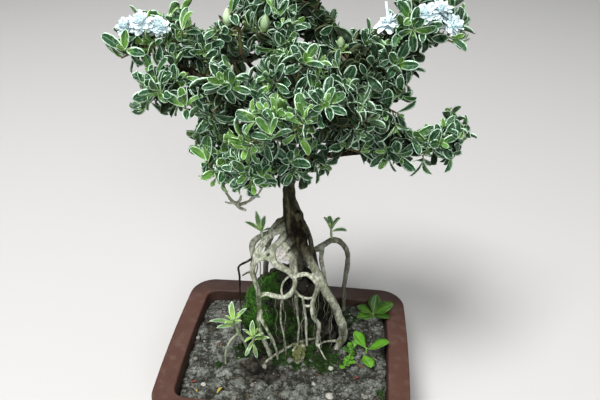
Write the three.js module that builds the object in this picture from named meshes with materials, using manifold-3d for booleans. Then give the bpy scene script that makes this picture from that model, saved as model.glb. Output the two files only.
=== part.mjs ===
// Serissa bonsai: a variegated tree standing on exposed roots in a filled rectangular pot.
// Millimetres, +Z up. The origin is the centre of the pot's flat underside, X runs along the
// pot's length and -Y is its front.
import * as THREE from 'three';
import { mergeVertices } from 'three/addons/utils/BufferGeometryUtils.js';
import Module from 'manifold-3d';

const wasm = await Module();
wasm.setup();

// ---- Driving dimensions -----------------------------------------------------------------

// Pot
const POT_LENGTH = 250;
const POT_WIDTH = 200;
const POT_HEIGHT = 75;
const POT_CORNER = 27;
const CORNER_EASE = 0.75;
const TIGHTEST_CORNER = 9;
const POT_BOW = 1.6;
const RIM_WIDTH = 21;
const LIP_HEIGHT = 10;
const LIP_STEP = 5;
const POT_TAPER = 13;
const FLOOR = 8;
const INNER_TAPER = 6;
const EDGE = 1.6;
const DRAIN_RADIUS = 8;
const DRAIN_X = 55;
const DRAIN_SIDES = 12;

// Soil
const SOIL_LEVEL = 63;
const SOIL_EDGE_DROP = 1.5;
const SOIL_STEPS = [9, 22, 36, 50, 62];
const MOUND_CENTRE = [3, 30];
const MOUND_SIDES = 11;

// Gap kept between neighbouring pieces
const GAP = 0.4;
const FOOT_DROP = 1.25;

// Leaf
const LEAF_LENGTH = 15.5;
const LEAF_ASPECT = 0.42;
const LEAF_KEEL = 1.0;
const BLADE_BEND = 0.16;
const BLADE_FOLD = 0.12;

// Canopy
const CANOPY_HEART = [0, 15, 325];
const CANOPY_SEED = 20251;

const UP = new THREE.Vector3(0, 0, 1);
const GOLDEN_ANGLE = Math.PI * (3 - Math.sqrt(5));

// ---- Solids -----------------------------------------------------------------------------

// A mesh's geometry as a manifold-3d solid.
function solidOf(geometry) {
  const bare = geometry.clone();
  bare.deleteAttribute('normal');
  bare.deleteAttribute('uv');
  const merged = mergeVertices(bare, 1e-4);
  return new wasm.Manifold(new wasm.Mesh({
    numProp: 3,
    vertProperties: new Float32Array(merged.attributes.position.array),
    triVerts: new Uint32Array(merged.index.array),
  }));
}

// A manifold-3d solid as a flat-shaded geometry.
function geometryOf(solid) {
  const mesh = solid.getMesh();
  const geometry = new THREE.BufferGeometry();
  geometry.setAttribute('position', new THREE.BufferAttribute(mesh.vertProperties, mesh.numProp));
  geometry.setIndex(new THREE.BufferAttribute(mesh.triVerts, 1));
  const flat = geometry.toNonIndexed();
  flat.computeVertexNormals();
  return flat;
}

// The largest body of a solid, without short edges.
function largest(solid) {
  const bodies = solid.decompose();
  bodies.sort((a, b) => b.volume() - a.volume());
  return bodies[0].simplify(0.02);
}

// A closed surface that is put together ring by ring. A ring is a list of corners that run
// anticlockwise seen from the far end, and a ring of one corner closes the surface to a tip.
function newSkin() {
  const corners = [];
  const faces = [];
  const ring = (points) => points.map((point) => corners.push(point) - 1);
  const cap = (edge) => {
    for (let i = 1; i + 1 < edge.length; i++) faces.push(edge[0], edge[i], edge[i + 1]);
  };
  // Joins two rings. The upper triangle of each side listed in open is left out, and returned
  // as a ring that something else can grow from.
  const band = (low, high, open = []) => {
    const sides = Math.max(low.length, high.length);
    for (let i = 0; i < sides; i++) {
      const j = (i + 1) % sides;
      if (low.length > 1) faces.push(low[i], low[j], high[high.length > 1 ? j : 0]);
      if (high.length > 1 && !open.includes(i)) faces.push(low[low.length > 1 ? i : 0], high[j], high[i]);
    }
    return open.map((i) => [low[i], high[(i + 1) % sides], high[i]]);
  };
  const solid = () => {
    const geometry = new THREE.BufferGeometry().setFromPoints(corners);
    geometry.setIndex(faces);
    return solidOf(geometry);
  };
  return { ring, cap, band, solid };
}

// A closed solid through rings of points.
function loft(rings) {
  const skin = newSkin();
  const edges = rings.map((points) => skin.ring(points));
  skin.cap([...edges[0]].reverse());
  edges.slice(1).forEach((edge, k) => skin.band(edges[k], edge));
  skin.cap(edges.at(-1));
  return skin.solid();
}

const vector = ([x, y, z]) => new THREE.Vector3(x, y, z);

// A unit vector square to the one given.
function squareTo(axis) {
  const helper = Math.abs(axis.z) < 0.9 ? UP : new THREE.Vector3(1, 0, 0);
  return new THREE.Vector3().crossVectors(helper, axis).normalize();
}

// Rings of corners round a route of [x, y, z, radius], widened all round by grow. spin turns
// the first ring about the route.
function ringsAlong(route, sides, grow = 0, spin = 0) {
  const points = route.map(vector);
  const last = points.length - 1;
  let tangent = points[1].clone().sub(points[0]).normalize();
  const side = squareTo(tangent).applyAxisAngle(tangent, spin);
  return points.map((point, i) => {
    const ahead = points[Math.min(i + 1, last)].clone().sub(points[Math.max(i - 1, 0)]).normalize();
    side.applyQuaternion(new THREE.Quaternion().setFromUnitVectors(tangent, ahead));
    tangent = ahead;
    const across = new THREE.Vector3().crossVectors(tangent, side);
    return Array.from({ length: sides }, (_, k) => {
      const turn = (2 * Math.PI * k) / sides;
      return point.clone()
        .addScaledVector(side, Math.cos(turn) * (route[i][3] + grow))
        .addScaledVector(across, Math.sin(turn) * (route[i][3] + grow));
    });
  });
}

// A tapered limb through route points [x, y, z, radius].
const limb = (route, sides, grow = 0) => loft(ringsAlong(route, sides, grow));

// ---- Pot --------------------------------------------------------------------------------

// A rounded rectangle at height z, inset from the pot's outline, with gently bowed sides.
function potRing(inset, z, cornerSteps = 4) {
  const halfX = POT_LENGTH / 2 - inset;
  const halfY = POT_WIDTH / 2 - inset;
  const corner = Math.max(POT_CORNER - inset * CORNER_EASE, TIGHTEST_CORNER);
  const ring = [];
  for (let quarter = 0; quarter < 4; quarter++) {
    const signX = quarter === 0 || quarter === 3 ? 1 : -1;
    const signY = quarter < 2 ? 1 : -1;
    for (let step = 0; step <= cornerSteps; step++) {
      const turn = (Math.PI / 2) * (quarter + step / cornerSteps);
      const x = signX * (halfX - corner - POT_BOW) + corner * Math.cos(turn);
      const y = signY * (halfY - corner - POT_BOW) + corner * Math.sin(turn);
      ring.push(new THREE.Vector3(x, y, z));
    }
    const midX = [0, -1, 0, 1][quarter] * halfX;
    const midY = [1, 0, -1, 0][quarter] * halfY;
    ring.push(new THREE.Vector3(midX, midY, z));
  }
  return ring;
}

function makePot() {
  const lipBottom = POT_HEIGHT - LIP_HEIGHT;
  const shell = loft([
    potRing(POT_TAPER + EDGE, 0),
    potRing(POT_TAPER, EDGE),
    potRing(LIP_STEP, lipBottom - EDGE),
    potRing(EDGE, lipBottom),
    potRing(0, lipBottom + EDGE),
    potRing(0, POT_HEIGHT - EDGE),
    potRing(EDGE, POT_HEIGHT),
    potRing(RIM_WIDTH - EDGE, POT_HEIGHT),
    potRing(RIM_WIDTH, POT_HEIGHT - EDGE),
    potRing(RIM_WIDTH + INNER_TAPER, FLOOR),
  ]);
  const drains = [-DRAIN_X, DRAIN_X].map((x) => {
    const drill = new THREE.CylinderGeometry(DRAIN_RADIUS, DRAIN_RADIUS, 4 * FLOOR, DRAIN_SIDES);
    drill.rotateX(Math.PI / 2).translate(x, 0, 0);
    return solidOf(drill);
  });
  return shell.subtract(wasm.Manifold.union(drains));
}

// ---- Soil -------------------------------------------------------------------------------

// Height of the crumbly surface: a slow swell, a finer ripple and a slight fall to the front.
function soilHeight(x, y) {
  const swell = 1.3 * Math.sin(x / 17 + 1) * Math.cos(y / 23);
  const ripple = 0.7 * Math.sin((x + 2 * y) / 11);
  return SOIL_LEVEL + swell + ripple + (y - 20) / 60;
}

// The hill of soil inside the cage of roots: [height, half length, half width].
const MOUND = [
  [50, 50, 36],
  [66, 49, 36],
  [78, 43, 32],
  [95, 38, 27],
  [115, 34, 24],
  [132, 29, 20],
  [146, 19, 14],
  [152, 8, 7],
];

function makeSoil() {
  const bottom = FLOOR + GAP;
  const wallInset = (z) => RIM_WIDTH + GAP + INNER_TAPER * (POT_HEIGHT - z) / (POT_HEIGHT - FLOOR);
  const edgeLevel = SOIL_LEVEL - SOIL_EDGE_DROP;
  const rings = [potRing(wallInset(bottom), bottom, 2), potRing(wallInset(edgeLevel), edgeLevel, 2)];
  for (const step of SOIL_STEPS) {
    const ring = potRing(RIM_WIDTH + step, 0, 2);
    ring.forEach((point) => {
      point.z = soilHeight(point.x, point.y);
    });
    rings.push(ring);
  }
  const hill = MOUND.map(([z, halfX, halfY]) => Array.from({ length: MOUND_SIDES }, (_, k) => {
    const turn = (2 * Math.PI * k) / MOUND_SIDES;
    const lump = 1 + 0.07 * Math.sin(3 * turn + z / 9) + 0.05 * Math.sin(5 * turn - z / 6);
    return new THREE.Vector3(
      MOUND_CENTRE[0] + halfX * lump * Math.cos(turn),
      MOUND_CENTRE[1] + halfY * lump * Math.sin(turn),
      z,
    );
  }));
  return loft(rings).add(loft(hill));
}

// ---- Wood: trunk, branches and roots in one ---------------------------------------------

// Each route lists [x, y, z, radius]; sides is the number of faces round the limb.
const LIMBS = {
  trunk: { sides: 7, route: [
    [8, 24, 140, 5], [8, 16, 166, 6], [7, 12, 182, 7.6], [7, 12, 200, 8.4], [4, 12, 218, 7.8],
    [2, 12, 234, 6.6], [1, 12, 256, 5.7], [2, 14, 282, 5.6], [0, 16, 314, 5], [2, 20, 345, 4.2],
    [-2, 22, 374, 3.4], [-6, 22, 398, 2.6], [-8, 20, 420, 2], [-6, 18, 436, 1.5]] },
  strand_left: { sides: 4, route: [
    [1, 9, 270, 2.4], [-1, 8, 260, 2.8], [-1, 6, 247, 3], [1, 4, 230, 3.3], [4, 3, 212, 3.3],
    [6, 4, 200, 3]] },
  strand_right: { sides: 4, route: [
    [4, 15, 250, 2.8], [8, 17, 235, 3], [14, 18, 216, 2.8], [20, 18, 203, 2.7], [22, 14, 193, 2.7],
    [26, 5, 185, 2.5], [30, -3, 177, 2.4]] },
  root_right_front: { sides: 5, route: [
    [7, 10, 234, 4.4], [13, 4, 217, 4.6], [17, -2, 203, 4.3], [23, -4, 189, 4], [30, -4, 174, 4],
    [37, -3, 155, 4], [44, 1, 138, 3.9], [51, 6, 119, 3.8], [57, 12, 97, 3.7], [60, 17, 79, 3.8],
    [57, 20, 66, 3.6], [50, 19, 54, 3]] },
  root_right_arch: { sides: 5, route: [
    [12, 16, 194, 3.4], [20, 24, 180, 3.1], [30, 35, 179, 3.2], [39, 47, 178, 3], [47, 55, 172, 3],
    [54, 61, 160, 2.9], [57, 65, 147, 2.8], [57, 68, 128, 2.8], [55, 70, 107, 2.6],
    [55, 71, 84, 2.5], [56, 71, 55, 2.3]] },
  root_right_inner: { sides: 4, route: [
    [31, 34, 179, 2.2], [32, 20, 175, 2.3], [34, 11, 168, 2.2], [37, 4, 158, 2.1],
    [42, 1, 146, 2]] },
  root_centre: { sides: 5, route: [
    [3, 8, 222, 4.4], [8, 2, 211, 4.2], [8, -4, 201, 4.2], [7, -7, 192, 4.1], [8, -8, 182, 3.5],
    [8, -8, 173, 2.7], [8, -8, 163, 2.5], [5, -8, 154, 2.5], [-2, -8, 147, 2.4],
    [-12, -8, 147, 2.3], [-20, -8, 149, 2.3], [-28, -8, 146, 2.4]] },
  root_left_long: { sides: 5, route: [
    [-1, 8, 222, 3.8], [-7, 4, 218, 3.4], [-16, 0, 213, 3.2], [-23, -4, 205, 3.1],
    [-29, -7, 193, 3.1], [-32, -8, 181, 2.9], [-31, -8, 168, 2.6], [-28, -8, 154, 2.5],
    [-27, -8, 143, 2.8], [-27, -9, 125, 2.7], [-28, -9, 108, 2.7], [-25, -9, 92, 2.5],
    [-20, -9, 74, 2.3], [-16, -9, 55, 2]] },
  root_left_fork: { sides: 4, route: [
    [-27, -8, 134, 2], [-24, -11, 118, 1.9], [-19, -12, 104, 1.7], [-14, -11, 90, 1.6],
    [-11, -10, 74, 1.4], [-10, -8, 56, 1.3]] },
  root_left_thick: { sides: 5, route: [
    [2, 7, 219, 4], [-4, 2, 210, 3.7], [-10, -2, 202, 3.5], [-13, -5, 193, 3.3],
    [-10, -7, 186, 3.4], [-3, -8, 183, 3.5], [3, -8, 178, 3.1], [8, -8, 172, 2.6]] },
  root_bridge: { sides: 4, route: [
    [-31, -8, 183, 2.3], [-28, -10, 190, 2.4], [-22, -10, 194, 2.5], [-16, -8, 192, 2.4],
    [-11, -7, 187, 2.4]] },
  root_cross: { sides: 3, route: [
    [-27, -9, 191, 1.8], [-20, -7, 197, 2.1], [-15, -4, 201, 2.1], [-10, 0, 205, 1.9]] },
  root_knot: { sides: 4, route: [
    [5, 3, 212, 2.7], [-2, -5, 210, 3.1], [-6, -8, 203, 3.2], [-4, -8, 196, 3.3],
    [3, -7, 198, 3], [6, -3, 205, 2.6]] },
  root_behind_left: { sides: 4, route: [
    [-8, 10, 216, 2.6], [-18, 9, 210, 2.6], [-27, 7, 206, 2.9], [-33, 4, 200, 3.1],
    [-33, -1, 193, 2.6], [-30, -7, 188, 2.2]] },
  root_white: { sides: 4, route: [
    [7, -8, 173, 2.1], [13, -9, 176, 2.2], [19, -9, 178, 2.3], [25, -8, 173, 2.4],
    [30, -6, 162, 2.4], [27, -7, 148, 2.3], [25, -7, 135, 2.2], [27, -6, 121, 2.2],
    [32, -3, 108, 2.2], [31, 0, 92, 2], [30, 3, 74, 1.8], [29, 4, 55, 1.6]] },
  root_rung: { sides: 3, route: [
    [16, -7, 148, 1.3], [17, -5, 133, 1.4], [19, -4, 113, 1.4], [19, -2, 94, 1.3],
    [20, 0, 76, 1.2], [21, 2, 57, 1.1]] },
  root_branchlet: { sides: 3, route: [
    [7, -8, 158, 1.5], [13, -7, 149, 1.3], [20, -7, 146, 1.1], [27, -7, 148, 1.1]] },
  root_black_thread: { sides: 3, route: [
    [-29, -7, 193, 1.3], [-36, -8, 188, 1.1], [-45, -8, 181, 1], [-45, -8, 168, 1],
    [-47, -4, 145, 0.9], [-48, 1, 110, 0.9], [-50, 5, 76, 0.9], [-50, 6, 57, 0.9]] },
  root_bottom: { sides: 3, route: [
    [33, 3, 86, 1.5], [25, 5, 81, 1.4], [17, 4, 79, 1.4], [9, 2, 76, 1.4], [1, -1, 73, 1.4],
    [-6, -5, 70, 1.4], [-14, -10, 67, 1.4], [-22, -16, 63, 1.3], [-27, -20, 57, 1.2]] },
  root_stub: { sides: 6, route: [
    [13, 4, 77, 2.8], [13, -1, 75.5, 5.6], [12, -6, 72, 6.6], [12, -9, 67, 6], [12, -10, 58, 4]] },
  root_back_left: { sides: 4, route: [
    [-2, 16, 222, 4], [-10, 28, 210, 3.9], [-19, 42, 190, 3.6], [-27, 55, 162, 3.3],
    [-32, 64, 128, 3], [-34, 68, 92, 2.7], [-35, 68, 55, 2.4]] },
  root_back_right: { sides: 4, route: [
    [6, 16, 218, 3.8], [12, 30, 206, 3.6], [13, 46, 188, 3.3], [10, 58, 160, 3],
    [12, 66, 124, 2.8], [15, 70, 88, 2.5], [15, 71, 55, 2.2]] },
  branch_left: { sides: 5, route: [
    [0, 16, 303, 3.9], [-19, 9, 327, 3.5], [-35, 4, 344, 3.2], [-49, 0, 355, 3], [-62, -2, 364, 2.7],
    [-75, -4, 371, 2.4], [-87, -4, 378, 2.1], [-97, -5, 386, 1.7]] },
  branch_right_upper: { sides: 5, route: [
    [1, 16, 312, 3.5], [20, 10, 334, 3.1], [40, 5, 351, 2.8], [57, 2, 367, 2.5], [69, 2, 380, 2.2],
    [76, 3, 392, 1.9], [88, 4, 401, 1.6]] },
  branch_right_lower: { sides: 5, route: [
    [2, 14, 281, 3.3], [22, 9, 291, 2.9], [50, 3, 301, 2.6], [73, 1, 305, 2.3], [92, 0, 306, 2.1],
    [112, -1, 307, 1.7]] },
  branch_left_lower: { sides: 4, route: [
    [1, 13, 273, 2.8], [-9, 2, 286, 2.4], [-21, -9, 296, 2.1], [-33, -17, 298, 1.6]] },
  branch_front: { sides: 4, route: [
    [1, 14, 295, 3], [0, 0, 312, 2.6], [-3, -16, 327, 2.2], [-5, -30, 335, 1.8]] },
  branch_front_right: { sides: 4, route: [
    [1, 15, 305, 3], [15, 0, 326, 2.6], [29, -16, 342, 2.3], [37, -27, 350, 1.9]] },
  branch_upper_left: { sides: 4, route: [
    [1, 20, 347, 2.6], [-14, 16, 358, 2.2], [-28, 12, 371, 1.8], [-36, 10, 382, 1.5]] },
  branch_upper_right: { sides: 4, route: [
    [-1, 21, 358, 2.5], [12, 18, 371, 2], [22, 16, 383, 1.6]] },
  branch_back_left: { sides: 4, route: [
    [0, 17, 308, 3.2], [-18, 34, 324, 2.8], [-36, 52, 338, 2.4], [-50, 64, 346, 1.9]] },
  branch_back_right: { sides: 4, route: [
    [1, 18, 322, 3.1], [20, 36, 336, 2.7], [40, 52, 346, 2.3], [54, 62, 350, 1.8]] },
  branch_back: { sides: 4, route: [
    [1, 17, 292, 3], [5, 38, 304, 2.6], [8, 58, 314, 2.1], [9, 72, 322, 1.7]] },
  branch_back_high: { sides: 4, route: [
    [1, 20, 340, 2.7], [-3, 38, 356, 2.2], [-6, 54, 370, 1.7]] },
  dead_twig: { sides: 3, route: [
    [-23, -11, 296, 1.6], [-17, -19, 284, 1.3], [-19, -21, 274, 1.2], [-25, -21, 267, 1.2],
    [-33, -21, 262, 1.2], [-40, -21, 260, 1.3], [-46, -22, 267, 1.2], [-50, -22, 277, 1.1],
    [-49, -21, 286, 1]] },
};

const woodParts = Object.entries(LIMBS).map(([name, { route, sides }]) => ({
  name,
  solid: limb(route, sides),
  cleared: limb(route, sides, GAP),
}));

// ---- Foliage ----------------------------------------------------------------------------

// Even numbers between 0 and 1 in a repeatable order.
function drawer(seed) {
  let state = seed;
  return () => {
    state = (Math.imul(state, 1664525) + 1013904223) >>> 0;
    return state / 4294967296;
  };
}

// A point and tangent on the curve from start to end, lifted at its middle by rise.
function bowed(start, end, rise, t) {
  const middle = start.clone().lerp(end, 0.5).addScaledVector(UP, rise);
  const curve = new THREE.QuadraticBezierCurve3(start, middle, end);
  return { point: curve.getPoint(t), tangent: curve.getTangent(t).normalize() };
}

// The point, tangent and side vector at a place on a shoot. The side vector starts at the
// shoot's roll and is carried along without twist.
function frameOn({ start, end, rise, roll }, place) {
  const first = bowed(start, end, rise, SHOOT_RINGS[1].place).point.sub(start).normalize();
  const { point, tangent } = bowed(start, end, rise, place);
  const side = squareTo(first).applyAxisAngle(first, roll)
    .applyQuaternion(new THREE.Quaternion().setFromUnitVectors(first, tangent));
  return { point, tangent, side };
}

// Where each spray leaves the wood (limb and place along its route), the middle of its leaves,
// the reach of its shoots from there, and how many shoots it has where that isn't the usual.
const PADS = {
  spray_left_end: { limb: 'branch_left', at: 7, centre: [-111, -8, 389], reach: [19, 20, 15], shoots: 4 },
  spray_left_top: { limb: 'branch_left', at: 6.2, centre: [-88, 0, 398], reach: [17, 18, 16] },
  spray_left_under: { limb: 'branch_left', at: 5, centre: [-90, -24, 358], reach: [21, 18, 14] },
  spray_left_below: { limb: 'branch_left', at: 3, centre: [-74, 6, 337], reach: [24, 18, 16] },
  spray_left_above: { limb: 'branch_left', at: 4, centre: [-60, 10, 384], reach: [18, 18, 16] },
  spray_left_front: { limb: 'branch_left', at: 2.4, centre: [-42, -34, 364], reach: [24, 20, 20] },
  spray_left_back: { limb: 'branch_left', at: 3.5, centre: [-72, 34, 362], reach: [22, 20, 16] },
  spray_left_low: { limb: 'branch_left', at: 1.5, centre: [-50, -14, 335], reach: [20, 17, 16] },
  spray_heart: { limb: 'branch_front', at: 2, centre: [-22, -30, 350], reach: [19, 16, 18] },
  spray_low_left: { limb: 'branch_left_lower', at: 3, centre: [-50, -26, 306], reach: [15, 14, 14] },
  spray_low_front: { limb: 'branch_left_lower', at: 2, centre: [-24, -36, 303], reach: [18, 14, 14] },
  spray_front: { limb: 'branch_front', at: 3, centre: [-4, -52, 342], reach: [23, 18, 17] },
  spray_front_low: { limb: 'branch_front', at: 1, centre: [12, -26, 306], reach: [20, 16, 14] },
  spray_front_right: { limb: 'branch_front_right', at: 3, centre: [43, -46, 357], reach: [22, 18, 16] },
  spray_front_high: { limb: 'branch_front_right', at: 1.5, centre: [10, -30, 374], reach: [20, 18, 18] },
  spray_right_front: { limb: 'branch_right_upper', at: 2.4, centre: [55, -22, 380], reach: [22, 20, 18] },
  spray_right_above: { limb: 'branch_right_upper', at: 3, centre: [44, 16, 388], reach: [20, 18, 17] },
  spray_right_top: { limb: 'branch_right_upper', at: 6, centre: [97, 6, 411], reach: [18, 18, 12] },
  spray_right_end: { limb: 'branch_right_upper', at: 5.4, centre: [116, -2, 407], reach: [17, 17, 13] },
  spray_right_outer: { limb: 'branch_right_upper', at: 4, centre: [86, -12, 373], reach: [17, 17, 15] },
  spray_right_under: { limb: 'branch_right_upper', at: 3.4, centre: [77, -18, 348], reach: [20, 18, 15] },
  spray_right_back: { limb: 'branch_right_upper', at: 4.4, centre: [84, 28, 384], reach: [20, 20, 17] },
  spray_low_middle: { limb: 'branch_right_lower', at: 1.6, centre: [46, -12, 316], reach: [22, 18, 14] },
  spray_low_right: { limb: 'branch_right_lower', at: 3.4, centre: [92, -6, 318], reach: [20, 18, 13] },
  spray_low_tip: {
    limb: 'branch_right_lower', at: 5, centre: [133, -2, 315], reach: [21, 17, 14], shoots: 4,
  },
  spray_low_back: { limb: 'branch_right_lower', at: 2.4, centre: [68, 30, 318], reach: [20, 18, 15] },
  spray_top_left: { limb: 'branch_upper_left', at: 3, centre: [-36, 8, 404], reach: [20, 20, 17] },
  spray_top_front: { limb: 'trunk', at: 10, centre: [-8, -8, 400], reach: [20, 18, 17] },
  spray_top_right: { limb: 'branch_upper_right', at: 2, centre: [28, 12, 408], reach: [19, 20, 17] },
  spray_crown_low: { limb: 'trunk', at: 12, centre: [6, 24, 432], reach: [20, 20, 15] },
  spray_crown: { limb: 'trunk', at: 13, centre: [-10, 16, 450], reach: [19, 19, 15] },
  spray_back_left: { limb: 'branch_back_left', at: 3, centre: [-58, 72, 356], reach: [22, 20, 18] },
  spray_back_right: { limb: 'branch_back_right', at: 3, centre: [62, 70, 358], reach: [22, 20, 18] },
  spray_back: { limb: 'branch_back', at: 3, centre: [10, 84, 330], reach: [24, 18, 18] },
  spray_back_high: { limb: 'branch_back_high', at: 2, centre: [-10, 66, 386], reach: [24, 20, 18] },
};
const USUAL_SHOOTS = 3;

// The point on a limb's axis at a place along its route: 2.5 is half way from point 2 to 3.
function onLimb(name, at) {
  const { route } = LIMBS[name];
  const step = Math.min(Math.floor(at), route.length - 2);
  return vector(route[step]).lerp(vector(route[step + 1]), at - step);
}

// Rings of a shoot: place along it and radius. The leaves stand on the last band.
const SHOOT_RINGS = [
  { place: 0, radius: 0.45 },
  { place: 0.68, radius: 1 },
  { place: 1, radius: 0.8 },
];
const LEAF_PLACE = 0.86;

// The two crossed pairs of leaves at a shoot's end: opening from its direction in degrees, and
// size against a full leaf.
const PAIRS = [
  { opening: 76, size: 0.98 },
  { opening: 50, size: 1.02 },
];

// How a spray spreads. Its shoots stand round a pole, on levels from 1 along the pole to 0
// square to it, and leave its stem between two places along it.
const POLE_LIFT = 0.9;
const TOP_LEVEL = 0.92;
const LEVEL_SPAN = 1.3;
const LEVEL_SCATTER = 0.5;
const TURN_SCATTER = 0.5;
const REACH_SCATTER = 0.15;
const FIRST_BASE = 0.52;
const BASE_SPAN = 0.44;
const SHOOT_BOW = 0.1;

// How leaves differ: radians round the shoot, degrees of opening, share of their length, and
// how much they turn up.
const LEAF_TURN_SCATTER = 0.3;
const LEAF_LEAN_SCATTER = 16;
const LEAF_SIZE_SCATTER = 0.3;
const LEAF_UPTURN = 0.18;

// One spray's stem, shoots and leaves, worked out from its pad and its own drawer.
function grow([name, pad], index) {
  const draw = drawer(CANOPY_SEED + 977 * index);
  const centre = vector(pad.centre);
  const start = onLimb(pad.limb, pad.at);
  const stem = { start, end: centre, rise: 0 };
  const outward = centre.clone().sub(vector(CANOPY_HEART)).normalize();
  const pole = outward.addScaledVector(UP, POLE_LIFT).normalize();
  const side = squareTo(pole);
  const across = new THREE.Vector3().crossVectors(pole, side);
  const spin = 2 * Math.PI * draw();
  const count = pad.shoots ?? USUAL_SHOOTS;
  const shoots = [];
  for (let i = 0; i < count; i++) {
    const level = TOP_LEVEL - (LEVEL_SPAN * (i + LEVEL_SCATTER * draw())) / count;
    const flat = Math.sqrt(1 - level * level);
    const turn = spin + i * GOLDEN_ANGLE + TURN_SCATTER * draw();
    const heading = pole.clone().multiplyScalar(level)
      .addScaledVector(side, flat * Math.cos(turn))
      .addScaledVector(across, flat * Math.sin(turn));
    const reach = 1 - REACH_SCATTER * (1 - draw());
    const tip = centre.clone().add(heading.multiply(vector(pad.reach)).multiplyScalar(reach));
    const place = FIRST_BASE + BASE_SPAN * draw();
    const base = start.clone().lerp(centre, place);
    const shoot = { start: base, end: tip, rise: SHOOT_BOW * base.distanceTo(tip) };
    shoot.roll = 2 * Math.PI * draw();
    shoot.leaves = PAIRS.flatMap(({ opening, size }, pair) => [0, 1].map((half) => {
      const { point, tangent, side: zero } = frameOn(shoot, LEAF_PLACE);
      const quarter = pair + 2 * half;
      const azimuth = quarter * (Math.PI / 2) + LEAF_TURN_SCATTER * (draw() - 0.5);
      const lean = THREE.MathUtils.degToRad(opening + LEAF_LEAN_SCATTER * (draw() - 0.5));
      const length = LEAF_LENGTH * size * (1 + LEAF_SIZE_SCATTER * (draw() - 0.5));
      const spoke = zero.applyAxisAngle(tangent, azimuth);
      const along = tangent.clone().multiplyScalar(Math.cos(lean))
        .addScaledVector(spoke, Math.sin(lean)).addScaledVector(UP, LEAF_UPTURN).normalize();
      const face = tangent.clone().addScaledVector(along, -tangent.dot(along)).normalize();
      return { quarter, base: point, along, face, length, width: length * LEAF_ASPECT };
    }));
    shoots.push(shoot);
  }
  return { name, stem, shoots };
}

// Stations along a leaf's blade and its width there against the full width.
const LEAF_STATIONS = [[0.34, 0.98], [0.78, 0.84]];

// The rings and tip of a keeled blade beyond its base: a flat upper face with an elliptic
// outline, a keel below and a tip that bends back. grow widens it all round.
function bladeRings({ base, along, face, length, width, stations = LEAF_STATIONS }, grow = 0) {
  const across = new THREE.Vector3().crossVectors(along, face);
  const bend = (place) => -BLADE_BEND * length * place * place;
  const lift = BLADE_FOLD * width;
  const station = ([place, spread]) => {
    const middle = base.clone().addScaledVector(along, place * length).addScaledVector(face, bend(place));
    const half = (width / 2) * spread + grow;
    return [
      middle.clone().addScaledVector(face, lift - LEAF_KEEL - grow),
      middle.clone().addScaledVector(across, -half).addScaledVector(face, lift + grow),
      middle.clone().addScaledVector(across, half).addScaledVector(face, lift + grow),
    ];
  };
  const tip = base.clone().addScaledVector(along, length + 2 * grow).addScaledVector(face, bend(1));
  return [...stations.map(station), [tip]];
}

// A blade that stands on its own base point, which is sunk in a stem.
const blade = (leaf, grow = 0) => loft([[leaf.base], ...bladeRings(leaf, grow)]);

// Grows a blade out of an open triangle in a skin.
function growBlade(skin, opening, leaf) {
  let edge = opening;
  for (const points of bladeRings(leaf)) {
    const next = skin.ring(points);
    skin.band(edge, next);
    edge = next;
  }
}

// Radius of a thin stem at its foot and at its tip.
const SPRAY_STEM = [1.7, 1.3];
const BLOOM_STEM = [1.2, 1];
const SHOOT_STEM = [1.1, 0.8];

// A thin stem between two points on a bowed curve.
function twig({ start, end, rise }, [thick, thin], steps, sides, grow = 0) {
  const route = Array.from({ length: steps + 1 }, (_, i) => {
    const { point } = bowed(start, end, rise, i / steps);
    return [point.x, point.y, point.z, THREE.MathUtils.lerp(thick, thin, i / steps)];
  });
  return limb(route, sides, grow);
}

// A shoot with its grown leaves in one skin: each leaf stands on one side of the four-sided stem.
function shootSolid(shoot) {
  const route = SHOOT_RINGS.map(({ place, radius }) => {
    const { point } = bowed(shoot.start, shoot.end, shoot.rise, place);
    return [point.x, point.y, point.z, radius];
  });
  const skin = newSkin();
  const edges = ringsAlong(route, 4, 0, shoot.roll - Math.PI / 4).map((points) => skin.ring(points));
  skin.cap([...edges[0]].reverse());
  skin.band(edges[0], edges[1]);
  const grown = shoot.leaves.filter((leaf) => leaf.grown);
  const openings = skin.band(edges[1], edges[2], grown.map(({ quarter }) => quarter));
  grown.forEach((leaf, i) => growBlade(skin, openings[i], leaf));
  skin.cap(edges.at(-1));
  return skin.solid();
}

// What has been placed so far, with its node and, on a spray, its shoot.
const placed = [];

function boxesMeet(a, b) {
  return [0, 1, 2].every((k) => a.min[k] < b.max[k] && b.min[k] < a.max[k]);
}

function take(node, solid, shoot = null) {
  placed.push({ node, shoot, solid, box: solid.boundingBox() });
}

// Whether a solid runs through anything placed that belongs to something else.
function crosses(solid, isOwn) {
  const box = solid.boundingBox();
  return placed.some((other) => !isOwn(other) && boxesMeet(box, other.box)
    && solid.intersect(other.solid).volume() > 1e-6);
}

// ---- Flowers and buds -------------------------------------------------------------------

// Flowers of each bloom: throat, the way it faces, petal length, and the tip of a petal that is
// still rolled up and stands out of the flower.
const BLOOMS = {
  bloom_left: { foot: [-106, -7, 398], flowers: [
    { throat: [-117, -11, 405], faces: [-0.6, -0.5, 1], petal: 10 },
    { throat: [-106, -13, 409], faces: [0, -0.7, 1], petal: 10.5 },
    { throat: [-95, -9, 405], faces: [0.7, -0.5, 1], petal: 9.5 }] },
  bloom_right_inner: { foot: [80, 5, 404], flowers: [
    { throat: [79, 3, 411], faces: [-0.2, -0.1, 1], petal: 9.5, upright: [75.5, 3, 427] }] },
  bloom_right_top: { foot: [112, -5, 412], flowers: [
    { throat: [105, -8, 420], faces: [-0.6, -0.5, 1], petal: 9 },
    { throat: [114, -6, 422], faces: [0.1, -0.4, 1], petal: 9.5 },
    { throat: [122, -10, 414], faces: [0.9, -0.6, 0.8], petal: 9 }] },
};

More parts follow.
